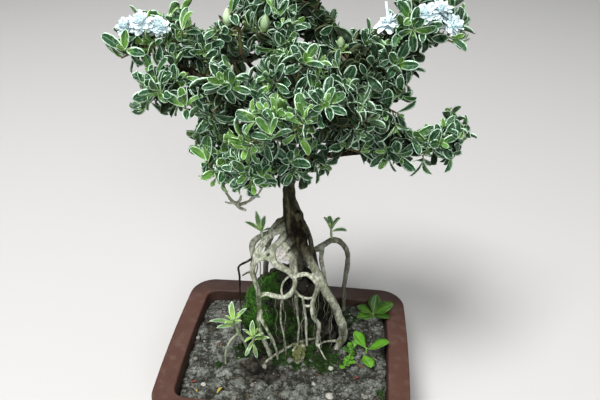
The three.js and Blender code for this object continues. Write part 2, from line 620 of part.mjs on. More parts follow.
// A flower's tube: its radius at the foot, then rings above the throat.
const TUBE_FOOT = 1;
const THROAT_RINGS = [{ height: 0, radius: 2 }, { height: 1.6, radius: 1.9 }, { height: 3, radius: 1.3 }];

// The petals' height above the throat, opening from the flower's axis in degrees, size against
// a full petal and width near the base against the widest, layer by layer.
const PETALS = 5;
const PETAL_ASPECT = 0.62;
const ROLLED_PETAL = 1.1;
const PETAL_LAYERS = [
  { height: 0.8, opening: 74, size: 1, waist: 0.6 },
  { height: 2.3, opening: 50, size: 0.78, waist: 0.38 },
];

// Buds: foot, tip and radius.
const BUDS = {
  bud_left: { foot: [-45, 10, 396], tip: [-45, 9, 418], radius: 3.4, spray: 'spray_left_above' },
  bud_middle: { foot: [-14, -10, 400], tip: [-12, -10, 419], radius: 3.2, spray: 'spray_top_front' },
  bud_right: { foot: [44, -12, 392], tip: [44, -13, 405], radius: 2.6, spray: 'spray_right_front' },
};

// A double flower in one skin: a five-sided tube with five spread petals on one band and five
// standing ones on the band above.
function flower({ throat, faces, petal, upright }, foot) {
  const axis = vector(faces).normalize();
  const above = (height) => vector(throat).addScaledVector(axis, height);
  const route = [
    [...foot, TUBE_FOOT],
    ...THROAT_RINGS.map(({ height, radius }) => [...above(height).toArray(), radius]),
  ];
  if (upright) route.push([...upright, ROLLED_PETAL]);
  const skin = newSkin();
  const rings = ringsAlong(route, PETALS);
  const edges = rings.map((points) => skin.ring(points));
  skin.cap([...edges[0]].reverse());
  skin.band(edges[0], edges[1]);
  PETAL_LAYERS.forEach(({ height, opening, size, waist }, layer) => {
    const lower = rings[layer + 1];
    const openings = skin.band(edges[layer + 1], edges[layer + 2], [...lower.keys()]);
    openings.forEach((triangle, i) => {
      const spoke = lower[i].clone().add(lower[(i + 1) % PETALS]).multiplyScalar(0.5)
        .sub(above(THROAT_RINGS[layer].height));
      spoke.addScaledVector(axis, -spoke.dot(axis)).normalize();
      const lean = THREE.MathUtils.degToRad(opening);
      const along = axis.clone().multiplyScalar(Math.cos(lean)).addScaledVector(spoke, Math.sin(lean));
      const face = axis.clone().addScaledVector(along, -axis.dot(along)).normalize();
      const length = petal * size;
      const width = length * PETAL_ASPECT;
      const stations = [[0.34, waist], [0.78, 1]];
      growBlade(skin, triangle, { base: above(height), along, face, length, width, stations });
    });
  });
  if (upright) skin.band(edges.at(-2), edges.at(-1));
  skin.cap(edges.at(-1));
  return skin.solid();
}

// A bud's places from foot to tip and its radius there against the widest.
const BUD_PROFILE = [[0, 0.3], [0.3, 0.42], [0.5, 0.9], [0.68, 1], [0.86, 0.7], [1, 0.15]];
const BUD_SIDES = 6;

function bud({ foot, tip, radius }) {
  const low = vector(foot);
  const high = vector(tip);
  return limb(BUD_PROFILE.map(([place, spread]) => (
    [...low.clone().lerp(high, place).toArray(), radius * spread]
  )), BUD_SIDES);
}

// ---- Suckers and weeds ------------------------------------------------------------------

// Stems as limb routes, leaves as [base, tip, width].
const LOW_PLANTS = {
  sucker_left: {
    stems: [
      [[-41, -3, 52, 1.6], [-44, -6, 76, 1.7], [-49, -9, 94, 1.8], [-54, -10, 113, 1.3]],
      [[-49, -9, 96, 1.2], [-58, -12, 87, 1.1], [-63, -17, 74, 1], [-63, -22, 53, 1]],
    ],
    leaves: [
      [[-53, -10, 108], [-75, -15, 121], 6], [[-53, -10, 106], [-69, -19, 112], 5.4],
      [[-54, -10, 112], [-56, -7, 134], 6], [[-54, -10, 111], [-44, -5, 127], 6.4],
      [[-53, -10, 109], [-60, 5, 122], 5.6], [[-53, -10, 110], [-48, -22, 121], 5.4],
    ],
  },
  sucker_front: {
    stems: [[[-35, -2, 52, 1.5], [-35, -8, 74, 1.6], [-34, -15, 90, 1.5], [-33, -17, 101, 1.2]]],
    leaves: [
      [[-33, -17, 98], [-34, -16, 119], 6], [[-33, -17, 97], [-43, -19, 111], 5.6],
      [[-33, -17, 97], [-23, -20, 110], 5.6], [[-33, -17, 95], [-16, -19, 102], 5.4],
      [[-33, -16, 94], [-38, -28, 92], 5.6], [[-34, -14, 88], [-42, -24, 78], 5.4],
      [[-34, -14, 87], [-29, -24, 76], 5.4],
    ],
  },
  sucker_root_left: {
    stems: [[[-22, -3, 207, 1.3], [-23, 0, 213, 1.3], [-24, 0, 220, 1]]],
    leaves: [
      [[-23.5, 0, 217], [-38, -2, 229], 4.6], [[-24, 0, 218], [-28, 1, 237], 4.8],
      [[-23.5, 0, 217], [-14, -8, 230], 4.4], [[-23.5, 0, 216], [-22, 13, 227], 4.6],
    ],
  },
  sucker_root_right: {
    stems: [[[40, 48, 179, 1.3], [39, 50, 186, 1.3], [39, 50, 191, 1]]],
    leaves: [
      [[39, 50, 188], [45, 51, 205], 5.6], [[39, 50, 188], [33, 50, 205], 4],
      [[39, 50, 187], [54, 47, 194], 4.6], [[39, 50, 187], [36, 62, 199], 5],
    ],
  },
  weed_back: {
    stems: [[[89, 61, 52, 1.5], [89, 61, 71, 1.2]]],
    leaves: [
      [[89, 61, 69], [72, 67, 79], 10], [[89, 61, 69], [91, 74, 88], 11],
      [[89, 61, 69], [107, 65, 87], 10.5], [[89, 61, 68], [105, 48, 80], 10],
      [[89, 61, 68], [72, 50, 76], 8],
    ],
  },
  weed_front: {
    stems: [[[82, 8, 52, 1.5], [82, 8, 70, 1.2]]],
    leaves: [
      [[82, 8, 68], [69, 19, 83], 9.5], [[82, 8, 68], [103, 5, 86], 10],
      [[82, 8, 67], [90, -13, 75], 10],
    ],
  },
  weed_creeping: {
    stems: [[[64, 4, 52, 1.2], [63, 2, 65, 1.1], [60, 8, 71, 1], [62, 14, 77, 0.8]],
      [[63, 2, 64, 1], [66, -6, 69, 0.9], [62, -13, 72, 0.8]]],
    leaves: [
      [[61, 13, 76], [64, 21, 82], 6], [[62, 12, 75], [54, 17, 80], 5.6],
      [[60, 8, 71], [51, 9, 75], 5.6], [[63, -12, 72], [58, -20, 75], 6],
      [[64, -9, 71], [73, -11, 75], 5.6],
    ],
  },
};

const LOW_STEM_SIDES = 5;

// A blade steeper than this share of upright turns its face to the side.
const STEEP = 0.25;

function lowPlant({ stems, leaves }) {
  const parts = stems.map((route) => limb(route, LOW_STEM_SIDES));
  for (const [from, to, width] of leaves) {
    const base = vector(from);
    const reach = vector(to).sub(base);
    const length = reach.length();
    const along = reach.normalize();
    const face = UP.clone().addScaledVector(along, -UP.dot(along));
    if (face.length() < STEEP) face.copy(squareTo(along));
    face.normalize();
    parts.push(blade({ base, along, face, length, width }));
  }
  return wasm.Manifold.union(parts);
}

// ---- The object -------------------------------------------------------------------------

const part = new THREE.Group();

const finish = (color, roughness) => new THREE.MeshStandardMaterial({ color, roughness, metalness: 0 });
const POT_FINISH = finish(0x6e4a40, 0.5);
const SOIL_FINISH = finish(0x5b554b, 1);
const WOOD_FINISH = finish(0x8d8a72, 0.85);
const LEAF_FINISH = finish(0x6f9a5c, 0.6);
const PETAL_FINISH = finish(0xf2f4fb, 0.7);
const BUD_FINISH = finish(0xc3d49a, 0.6);
const WEED_FINISH = finish(0x58a53a, 0.5);

function place(name, solid, material) {
  const mesh = new THREE.Mesh(geometryOf(solid), material);
  mesh.name = name;
  part.add(mesh);
}

const wood = largest(wasm.Manifold.union(woodParts.map(({ solid }) => solid)));
woodParts.forEach(({ solid }) => take('tree_wood', solid));

// Flowers and buds are set first, then stems, shoots and leaves grow clear of them.
const blooms = Object.entries(BLOOMS).map(([name, { foot, flowers }]) => {
  const solid = wasm.Manifold.union(flowers.map((each) => flower(each, foot)));
  take(name, solid);
  return { name, solid };
});
const buds = Object.entries(BUDS).map(([name, spec]) => {
  const solid = bud(spec);
  take(name, solid);
  return { name, solid };
});
const lowPlants = Object.entries(LOW_PLANTS).map(([name, spec]) => {
  const solid = lowPlant(spec);
  take(name, solid);
  return { name, solid };
});

// The foot of every bloom and bud is carried by a stem of the spray named here, which leaves
// the spray's own stem at one place.
const BLOOM_STEM_PLACE = 0.8;
const CARRIED = [
  { spray: 'spray_left_end', foot: BLOOMS.bloom_left.foot },
  { spray: 'spray_right_top', foot: BLOOMS.bloom_right_inner.foot },
  { spray: 'spray_right_end', foot: BLOOMS.bloom_right_top.foot },
  ...Object.values(BUDS).map(({ spray, foot }) => ({ spray, foot })),
];

const sprays = Object.entries(PADS).map(grow);
const kept = new Map(sprays.map(({ name }) => [name, []]));

for (const { name, stem } of sprays) {
  const solid = twig(stem, SPRAY_STEM, 1, 4);
  take(name, solid);
  kept.get(name).push(solid);
}
for (const { spray, foot } of CARRIED) {
  const { stem } = sprays.find(({ name }) => name === spray);
  const from = stem.start.clone().lerp(stem.end, BLOOM_STEM_PLACE);
  const to = vector(foot).addScaledVector(UP, -FOOT_DROP);
  const solid = twig({ start: from, end: to, rise: 0 }, BLOOM_STEM, 1, 4);
  take(spray, solid);
  kept.get(spray).push(solid);
}
for (const { name, shoots } of sprays) {
  for (const shoot of shoots) {
    shoot.grown = !crosses(twig(shoot, SHOOT_STEM, 2, 3, GAP), ({ node }) => node === name);
    if (shoot.grown) take(name, twig(shoot, SHOOT_STEM, 2, 3), shoot);
  }
}
for (const { name, shoots } of sprays) {
  for (const shoot of shoots.filter(({ grown }) => grown)) {
    for (const leaf of shoot.leaves) {
      leaf.grown = !crosses(blade(leaf, GAP), (other) => other.shoot === shoot);
      if (leaf.grown) take(name, blade(leaf), shoot);
    }
    kept.get(name).push(shootSolid(shoot));
  }
}
// The wood and the low stems, wider by the gap, are what their neighbours are cut clear of.
const woodCleared = wasm.Manifold.union(woodParts.map(({ cleared }) => cleared));
const lowStemsCleared = Object.values(LOW_PLANTS).flatMap(({ stems }) => (
  stems.map((route) => limb(route, LOW_STEM_SIDES, GAP))
));

place('pot', makePot(), POT_FINISH);
const soil = makeSoil().subtract(wasm.Manifold.union([woodCleared, ...lowStemsCleared]));
place('soil', largest(soil), SOIL_FINISH);
place('tree_wood', wood, WOOD_FINISH);
for (const { name } of sprays) {
  place(name, largest(wasm.Manifold.union(kept.get(name)).subtract(woodCleared)), LEAF_FINISH);
}
for (const { name, solid } of blooms) place(name, largest(solid), PETAL_FINISH);
for (const { name, solid } of buds) place(name, largest(solid), BUD_FINISH);
for (const { name, solid } of lowPlants) {
  const plant = largest(solid.subtract(woodCleared));
  place(name, plant, name.startsWith('weed') ? WEED_FINISH : LEAF_FINISH);
}

export default part;
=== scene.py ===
"""A variegated serissa bonsai on exposed roots, in a filled rectangular pot.

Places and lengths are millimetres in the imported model's frame: the origin is the centre of the
pot's underside, +X runs along the pot's length, -Y is its front and +Z is up. The functions
that make meshes turn them into metres.
"""
from math import copysign, cos, pi, radians, sin, sqrt

import bpy
from mathutils import Matrix, Quaternion, Vector, kdtree, noise


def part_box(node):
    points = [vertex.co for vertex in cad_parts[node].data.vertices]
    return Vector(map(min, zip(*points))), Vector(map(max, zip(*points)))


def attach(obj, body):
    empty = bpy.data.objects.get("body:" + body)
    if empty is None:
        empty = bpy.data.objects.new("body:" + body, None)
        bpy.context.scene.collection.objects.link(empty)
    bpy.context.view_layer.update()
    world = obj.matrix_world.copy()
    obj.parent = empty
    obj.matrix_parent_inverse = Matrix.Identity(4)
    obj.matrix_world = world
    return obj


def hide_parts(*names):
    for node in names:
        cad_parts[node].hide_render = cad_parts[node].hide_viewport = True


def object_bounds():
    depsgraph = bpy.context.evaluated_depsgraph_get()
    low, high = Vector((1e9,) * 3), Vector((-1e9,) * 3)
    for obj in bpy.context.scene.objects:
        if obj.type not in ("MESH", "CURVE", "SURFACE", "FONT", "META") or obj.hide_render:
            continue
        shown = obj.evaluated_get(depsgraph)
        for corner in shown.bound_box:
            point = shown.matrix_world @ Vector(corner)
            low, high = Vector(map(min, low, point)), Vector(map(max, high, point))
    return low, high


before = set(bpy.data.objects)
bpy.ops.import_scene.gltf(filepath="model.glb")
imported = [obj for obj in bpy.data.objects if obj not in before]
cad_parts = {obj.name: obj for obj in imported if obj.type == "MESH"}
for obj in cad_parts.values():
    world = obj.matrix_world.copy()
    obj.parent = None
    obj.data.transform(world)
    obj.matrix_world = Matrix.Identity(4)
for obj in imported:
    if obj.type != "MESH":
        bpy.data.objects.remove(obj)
cad_low, cad_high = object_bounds()

MM = 0.001
UP = Vector((0, 0, 1))
GOLDEN_ANGLE = pi * (3 - sqrt(5))
ROOT_BODY = "root"
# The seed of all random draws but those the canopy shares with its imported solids.
FINE_SEED = 733

# ---- Meshes ----

# The kinds of value that a mesh can keep, apart from plain numbers.
VALUE_KINDS = {bool: "BOOLEAN", Vector: "FLOAT_VECTOR"}


def placed(name, data):
    """A new object in the scene."""
    thing = bpy.data.objects.new(name, data)
    bpy.context.scene.collection.objects.link(thing)
    return thing


def made(name, points, faces=(), edges=()):
    """A mesh object at the origin, from points in millimetres."""
    mesh = bpy.data.meshes.new(name)
    mesh.from_pydata([Vector(point) * MM for point in points], edges, faces)
    return placed(name, mesh)


def store(piece, **lists):
    """Keeps a value for each point of a piece: one list of them under each name."""
    for name, values in lists.items():
        kind = VALUE_KINDS.get(type(values[0]), "FLOAT")
        attribute = piece.data.attributes.new(name, kind, "POINT")
        if kind == "FLOAT_VECTOR":
            attribute.data.foreach_set("vector", [part for value in values for part in value])
        else:
            attribute.data.foreach_set("value", values)


def settle(piece):
    """Puts the plain mesh that a piece's modifiers give in their place."""
    depsgraph = bpy.context.evaluated_depsgraph_get()
    mesh = bpy.data.meshes.new_from_object(
        piece.evaluated_get(depsgraph), preserve_all_data_layers=True, depsgraph=depsgraph)
    draft = piece.data
    piece.modifiers.clear()
    piece.data = mesh
    bpy.data.meshes.remove(draft)
    mesh.name = piece.name


def modify(piece, kind, **settings):
    """Runs a modifier on a piece and keeps the plain mesh that it gives."""
    modifier = piece.modifiers.new(kind, kind)
    for name, value in settings.items():
        setattr(modifier, name, value)
    settle(piece)


def one_skin(piece, voxel):
    """Joins everything in a piece into one closed skin and evens it out."""
    modify(piece, "REMESH", mode="VOXEL", voxel_size=voxel * MM, use_smooth_shade=True)
    modify(piece, "SMOOTH", factor=0.5, iterations=2)


def push(piece, height):
    """Moves each point of a skin along its normal by height(point), in millimetres."""
    places = []
    for vertex in piece.data.vertices:
        point = vertex.co / MM
        places.append((point + vertex.normal * height(point)) * MM)
    for vertex, place in zip(piece.data.vertices, places):
        vertex.co = place
    piece.data.update()


def join(piece, others):
    """Adds other objects' meshes to a piece."""
    with bpy.context.temp_override(active_object=piece, selected_editable_objects=[piece, *others]):
        bpy.ops.object.join()


def paint(piece, material):
    """Gives all of a piece one material."""
    piece.data.materials.clear()
    piece.data.materials.append(material)


def finish_piece(piece, slot, *nodes):
    """Rides a piece on the object's body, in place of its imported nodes."""
    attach(piece, ROOT_BODY)
    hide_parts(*nodes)


def drawer(seed):
    """Even numbers between 0 and 1 in a repeatable order."""
    state = seed
    while True:
        state = (state * 1664525 + 1013904223) % 2 ** 32
        yield state / 2 ** 32


def clamped(value):
    """A value held between 0 and 1."""
    return min(max(value, 0), 1)


def spread_of(low, high, amount):
    """The number between low and high that lies amount of the way from low."""
    return low + (high - low) * amount


def fade(value, low, high):
    """0 below low, 1 above high and smooth between them."""
    share = clamped((value - low) / (high - low))
    return share * share * (3 - 2 * share)


def near(point, middle, inner, outer):
    """1 within inner millimetres of a middle, 0 beyond outer and smooth between them."""
    return 1 - fade((point - middle).length, inner, outer)


def turns(count):
    """Evenly spread angles that go once round."""
    return [2 * pi * k / count for k in range(count)]


def level_way(turn):
    """The level direction that is turned from +X."""
    return Vector((cos(turn), sin(turn), 0))


def turned(first, second, angle):
    """The direction at an angle from one direction towards another that is square to it."""
    return first * cos(angle) + second * sin(angle)


def square_part(axis, heading):
    """What is left of an axis across a heading of length 1."""
    return axis - heading * axis.dot(heading)


def square_to(axis):
    """A direction square to an axis."""
    helper = UP if abs(axis.z) < 0.9 else Vector((1, 0, 0))
    return helper.cross(axis).normalized()


def loft(rings):
    """Points and faces of a closed skin through rings that all have the same number of points."""
    count = len(rings[0])
    points = [point for ring in rings for point in ring]
    faces = [list(range(count))[::-1]]
    for k in range(len(rings) - 1):
        low, high = k * count, (k + 1) * count
        for i in range(count):
            j = (i + 1) % count
            faces.append([low + i, low + j, high + j, high + i])
    faces.append([(len(rings) - 1) * count + i for i in range(count)])
    return points, faces


def add_skin(skin, rings):
    """Adds a closed skin through rings to the points and faces collected in skin."""
    points, faces = loft(rings)
    start = len(skin[0])
    skin[0].extend(points)
    skin[1].extend([[start + corner for corner in face] for face in faces])


def smooth_route(route, step):
    """A smooth curve of [point, radius] through a route of [x, y, z, radius]."""
    knots = [Vector(stop) for stop in route]
    knots = [knots[0] * 2 - knots[1], *knots, knots[-1] * 2 - knots[-2]]
    curve = []
    for before, start, end, after in zip(knots, knots[1:], knots[2:], knots[3:]):
        count = max(1, round((end - start).length / step))
        for i in range(count):
            t = i / count
            curve.append(0.5 * (2 * start + (end - before) * t
                                + (2 * before - 5 * start + 4 * end - after) * t * t
                                + (3 * start - before - 3 * end + after) * t * t * t))
    curve.append(knots[-2])
    return [(stop.to_3d(), stop[3]) for stop in curve]


# ---- Node trees ----


class Nodes:
    """A node tree that is built up one node at a time."""

    def __init__(self, tree):
        self.tree = tree

    def join(self, value, socket):
        """Links an output to a socket, or sets a plain value on it."""
        if isinstance(value, bpy.types.NodeSocket):
            self.tree.links.new(value, socket)
        elif socket.type == "RGBA":
            socket.default_value = (*value, 1)
        else:
            socket.default_value = value

    def add(self, kind, sockets, **settings):
        """A node with these settings, whose sockets are linked or set."""
        node = self.tree.nodes.new(kind)
        for name, value in settings.items():
            setattr(node, name, value)
        for socket, value in sockets.items():
            self.join(value, node.inputs[socket])
        return node

    def step(self, kind, sockets, output=0, **settings):
        """What a node with these settings and sockets gives."""
        return self.add(kind, sockets, **settings).outputs[output]

    def maths(self, operation, *values):
        return self.step("ShaderNodeMath", dict(enumerate(values)), operation=operation)

    def sum(self, first, second):
        return self.maths("ADD", first, second)

    def times(self, first, second):
        return self.maths("MULTIPLY", first, second)


# ---- Finishes ----


class Finish(Nodes):
    """A material on Object coordinates."""

    def __init__(self, name, roughness, specular):
        self.material = bpy.data.materials.new(name)
        self.material.use_nodes = True
        super().__init__(self.material.node_tree)
        self.shader = self.tree.nodes["Principled BSDF"].inputs
        self.shader["Roughness"].default_value = roughness
        self.shader["Specular IOR Level"].default_value = specular
        self.place = self.tree.nodes.new("ShaderNodeTexCoord").outputs["Object"]

    def noise(self, grain, detail, stretch=None):
        """Cloudy noise from 0 to 1 with lumps of about grain millimetres."""
        place = self.place
        if stretch:
            place = self.step("ShaderNodeMapping", {"Vector": place, "Scale": stretch})
        sockets = {"Vector": place, "Scale": 1 / (grain * MM), "Detail": detail}
        return self.step("ShaderNodeTexNoise", sockets, "Fac")

    def cells(self, grain):
        """Distance to the nearest of scattered points that lie about grain millimetres apart."""
        sockets = {"Vector": self.place, "Scale": 1 / (grain * MM)}
        return self.step("ShaderNodeTexVoronoi", sockets, "Distance")

    def height(self):
        """The height above the pot's underside, in metres."""
        return self.step("ShaderNodeSeparateXYZ", {"Vector": self.place}, "Z")

    def read(self, name):
        """A value kept on the piece's points."""
        return self.step("ShaderNodeAttribute", {}, "Fac", attribute_name=name)

    def ramp(self, value, low, high, start=0, end=1):
        """Goes smoothly from start where value is low to end where it is high."""
        sockets = {"Value": value, "From Min": low, "From Max": high, "To Min": start, "To Max": end}
        return self.step("ShaderNodeMapRange", sockets, interpolation_type="SMOOTHSTEP")

    def patches(self, grain, detail, low, high, start=0, end=1):
        """Noise that goes smoothly from start to end between two of its levels."""
        return self.ramp(self.noise(grain, detail), low, high, start, end)

    def ragged(self, name, grain, detail, low, high, spread):
        """A value kept on the points, with noise that shifts it by up to spread."""
        return self.sum(self.read(name), self.patches(grain, detail, low, high, -spread, spread))

    def blend(self, amount, first, second):
        """One colour laid over another, each a socket or its red, green and blue."""
        return self.step("ShaderNodeMix", {0: amount, 6: first, 7: second}, 2, data_type="RGBA")

    def colour(self, value):
        self.join(value, self.shader["Base Color"])

    def relief(self, height, depth):
        """Bumps up to depth millimetres high."""
        bumps = self.step("ShaderNodeBump", {"Height": height, "Distance": depth * MM, "Strength": 1})
        self.join(bumps, self.shader["Normal"])


def pot_finish():
    """Reddish-brown moulded plastic with dust on top, the canopy's shadow painted on its back, and soil
    splashes and painted shade inside.
    """
    look = Finish("brown_plastic", 0.45, 0.22)
    front = look.blend(look.noise(34, 4), (0.056, 0.023, 0.015), (0.084, 0.036, 0.025))
    # Painted shadow: the back of the pot is painted dark where the canopy's shadow falls, and takes less
    # dust.
    base = look.blend(look.read("dusty"), (0.028, 0.014, 0.01), front)
    dry = look.times(look.ramp(look.height(), 0.064, 0.0745), look.read("dusty"))
    dust = look.times(look.patches(11, 6, 0.47, 0.75, 0, 0.36), dry)
    dusty = look.blend(dust, base, (0.155, 0.105, 0.08))
    grime = look.patches(2.4, 5, 0.62, 0.72, 0, 0.65)
    worn = look.blend(grime, dusty, (0.03, 0.021, 0.015))
    # Soil splashes on the inside of the pot, with painted shade on the inner wall below the rim.
    splash_and_shade = look.times(look.read("inside"), look.patches(7, 5, 0.3, 0.6, 0.35, 0.85))
    look.colour(look.blend(splash_and_shade, worn, (0.02, 0.017, 0.013)))
    look.join(look.patches(19, 4, 0.3, 0.7, 0.4, 0.6), look.shader["Roughness"])
    look.relief(look.noise(1.1, 2), 0.04)
    return look.material


def soil_finish():
    """Dry crumbly soil with painted shade in its pits, between its crumbs and over its mound, moist
    round the mound, that turns green where the moss attribute says so.
    """
    look = Finish("crumbly_soil", 0.95, 0.1)
    fine = look.noise(2.4, 5)
    # Painted shade between crumbs: each is paler at its middle and darker at its edges, where its bumps
    # fall away.
    crumbs = look.ramp(look.cells(4.6), 0.2, 0.62, 0.1, -0.16)
    # Painted shade in the pits and paler crests, from the height that the crest attribute keeps.
    crest = look.sum(look.read("crest"), look.ramp(fine, 0.3, 0.7, -0.16, 0.16))
    grains = look.patches(1, 3, 0.36, 0.64, -0.15, 0.15)
    shade = look.ramp(look.sum(look.sum(crest, crumbs), grains), 0.16, 0.86)
    cloud = look.patches(13, 3, 0.38, 0.62)
    pale = look.blend(cloud, (0.114, 0.121, 0.106), (0.208, 0.22, 0.196))
    dry = look.blend(shade, (0.02, 0.019, 0.015), pale)
    # Painted shade on the mound among the roots, and darker moist soil round its foot and in front.
    damp = look.blend(shade, (0.005, 0.005, 0.004), (0.04, 0.036, 0.028))
    wet_and_shaded = look.sum(look.read("damp"), look.patches(15, 3, 0.42, 0.64, 0, 0.45))
    earth = look.blend(look.ramp(wet_and_shaded, 0.1, 1), dry, damp)
    speckle = look.patches(3.4, 4, 0.35, 0.68)
    green = look.blend(speckle, (0.006, 0.015, 0.005), (0.03, 0.064, 0.014))
    mossy = look.ramp(look.ragged("moss", 5, 4, 0.3, 0.7, 0.2), 0.2, 0.5)
    look.colour(look.blend(mossy, earth, green))
    look.relief(look.sum(fine, crumbs), 0.7)
    return look.material


def moss_finish():
    """Moss, brighter at its tips and where it is fresh."""
    look = Finish("moss", 0.85, 0.1)
    fresh = look.sum(look.read("fresh"), look.patches(11, 3, 0.35, 0.65, -0.25, 0.35))
    old = look.blend(look.read("tip"), (0.003, 0.008, 0.002), (0.032, 0.06, 0.014))
    young = look.blend(look.read("tip"), (0.008, 0.034, 0.007), (0.108, 0.31, 0.042))
    look.colour(look.blend(look.ramp(fresh, 0.1, 0.8), old, young))
    return look.material


def grit_finish():
    """Grit, crumbs and pebbles, each of its own shade."""
    look = Finish("grit", 0.85, 0.25)
    shade = look.read("shade")
    dark = look.blend(look.ramp(shade, 0, 0.7), (0.035, 0.031, 0.026), (0.19, 0.18, 0.15))
    pale = look.blend(look.ramp(shade, 0.8, 1), dark, (0.44, 0.43, 0.38))
    specks = look.patches(1.1, 3, 0.42, 0.7, 0, 0.5)
    look.colour(look.blend(specks, pale, (0.06, 0.052, 0.042)))
    look.relief(look.noise(1.4, 3), 0.2)
    return look.material


def litter_finish():
    """Fallen bits of leaf and twig: brown, red or yellow."""
    look = Finish("litter", 0.8, 0.2)
    tone = look.read("tone")
    brown = look.blend(look.ramp(tone, 0.2, 0.5), (0.085, 0.058, 0.034), (0.2, 0.045, 0.03))
    faded = look.blend(look.ramp(tone, 0.6, 0.9), brown, (0.42, 0.36, 0.07))
    stains = look.patches(1.6, 3, 0.4, 0.7, 0, 0.5)
    look.colour(look.blend(stains, faded, (0.07, 0.045, 0.025)))
    look.relief(look.noise(1.2, 3), 0.15)
    return look.material


def bark_finish():
    """Dark fissured bark on the trunk, painted darker as shade under the canopy, with painted shade in
    its furrows and painted highlights on its ridges; pale grey-green skin on the roots, painted shade in
    the pits of the wood and moss low down.
    """
    look = Finish("bark", 0.85, 0.05)
    pale = look.read("pale")
    grain = look.noise(3.4, 5, (1, 1, 0.25))
    fleck = look.noise(1.5, 4, (1, 1, 0.5))
    shade = look.ramp(look.sum(grain, look.ramp(fleck, 0.3, 0.7, -0.12, 0.12)), 0.28, 0.7)
    # Painted light on the trunk: groove is painted shade in its furrows, crest a painted highlight on
    # its ridges, and both are painted very dark as shade under the canopy.
    groove = look.blend(shade, (0.003, 0.0026, 0.0016), (0.012, 0.0105, 0.006))
    crest = look.blend(shade, (0.02, 0.0175, 0.01), (0.072, 0.064, 0.038))
    trunk = look.blend(look.read("ridge"), groove, crest)
    root = look.blend(shade, (0.25, 0.26, 0.19), (0.66, 0.69, 0.56))
    brown = look.blend(look.patches(15, 3, 0.54, 0.68, 0, 0.45), root, (0.17, 0.125, 0.078))
    rosy = look.blend(look.ramp(pale, 1.02, 1.25, 0, 0.55), brown, (0.58, 0.5, 0.52))
    wood = look.blend(pale, trunk, rosy)
    lichen = look.blend(pale, (0.05, 0.054, 0.022), (0.2, 0.24, 0.12))
    lichened = look.blend(look.patches(10, 4, 0.5, 0.66, 0, 0.45), wood, lichen)
    yellow = look.blend(fleck, (0.04, 0.044, 0.012), (0.125, 0.135, 0.036))
    moss = look.blend(look.ramp(look.height(), 0.078, 0.092), yellow, (0.06, 0.105, 0.026))
    mossy = look.ramp(look.ragged("moss", 4, 4, 0.3, 0.7, 0.3), 0.3, 0.7, 0, 0.9)
    # Painted shade in the pits of the wood, where the relief below dips, partly dark flecks of the skin
    # itself.
    pits = look.ramp(fleck, 0.3, 0.4, 0.35, 0)
    look.colour(look.blend(pits, look.blend(mossy, lichened, moss), (0.03, 0.024, 0.016)))
    look.relief(look.sum(grain, look.times(fleck, 0.4)), 0.8)
    return look.material


def stem_finish(name, roughness, cloud, first, second):
    """A stem of two colours; cloud is the grain, detail and levels of the noise between them."""
    look = Finish(name, roughness, 0.3)
    look.colour(look.blend(look.patches(*cloud), first, second))
    look.relief(look.noise(0.8, 3), 0.15)
    return look.material


def twig_finish():
    """Young twigs, brown with green where they are fresh."""
    cloud = (9, 2, 0.4, 0.62)
    return stem_finish("twig", 0.75, cloud, (0.12, 0.085, 0.05), (0.15, 0.17, 0.055))


def sucker_stem_finish():
    """Fresh pale green stems."""
    cloud = (7, 3, 0.35, 0.65)
    return stem_finish("sucker_stem", 0.65, cloud, (0.15, 0.2, 0.1), (0.36, 0.4, 0.27))


def midrib(look, strength):
    """How much of the paler line along a blade's middle there is."""
    return look.ramp(look.maths("ABSOLUTE", look.read("across")), 0.02, 0.09, strength, 0)


def leaf_finish(name, hearts, margins, margin):
    """A leaf with a green heart inside a crisp pale margin.

    hearts and margins are the colours on an inner leaf, painted dark as shade, on an old one and on a
    young one.
    """
    look = Finish(name, 0.55, 0.14)
    tone = look.ragged("tone", 13, 2, 0.35, 0.65, 0.16)
    # grown runs from the painted shade of inner leaves, where tone is low, to an old leaf.
    grown = look.ramp(tone, -0.4, 0.1)
    young = look.ramp(look.sum(tone, look.ramp(look.read("along"), 0.1, 0.75, 0.38, -0.22)), 0.15, 1.05)
    heart = look.blend(young, look.blend(grown, hearts[0], hearts[1]), hearts[2])
    pale = look.blend(young, look.blend(grown, margins[0], margins[1]), margins[2])
    blotch = look.patches(2.2, 2, 0.5, 0.68, 0, 0.12)
    veined = look.blend(look.maths("MAXIMUM", blotch, midrib(look, 0.2)), heart, pale)
    rim = look.ragged("rim", 2.8, 2, 0.3, 0.7, 0.06)
    blade = look.blend(look.ramp(rim, margin - 0.04, margin + 0.04), pale, veined)
    under = look.blend(0.5, blade, (0.17, 0.21, 0.12))
    look.colour(look.blend(look.times(look.read("underside"), 0.5), blade, under))
    look.relief(look.noise(1, 2), 0.05)
    return look.material


def old_leaf_finish():
    """Leaves of the canopy."""
    return leaf_finish(
        "variegated_leaf",
        # The first heart and margin are painted shade, on leaves inside the canopy.
        [(0.004, 0.01, 0.003), (0.012, 0.054, 0.016), (0.115, 0.27, 0.033)],
        [(0.065, 0.085, 0.036), (0.55, 0.75, 0.58), (0.6, 0.8, 0.47)], 0.22)


def young_leaf_finish():
    """Leaves of suckers and buds."""
    return leaf_finish(
        "young_leaf",
        # The first heart and margin are painted shade, on leaves inside the canopy.
        [(0.05, 0.09, 0.04), (0.085, 0.18, 0.055), (0.29, 0.47, 0.08)],
        [(0.3, 0.34, 0.24), (0.54, 0.68, 0.5), (0.58, 0.76, 0.42)], 0.26)


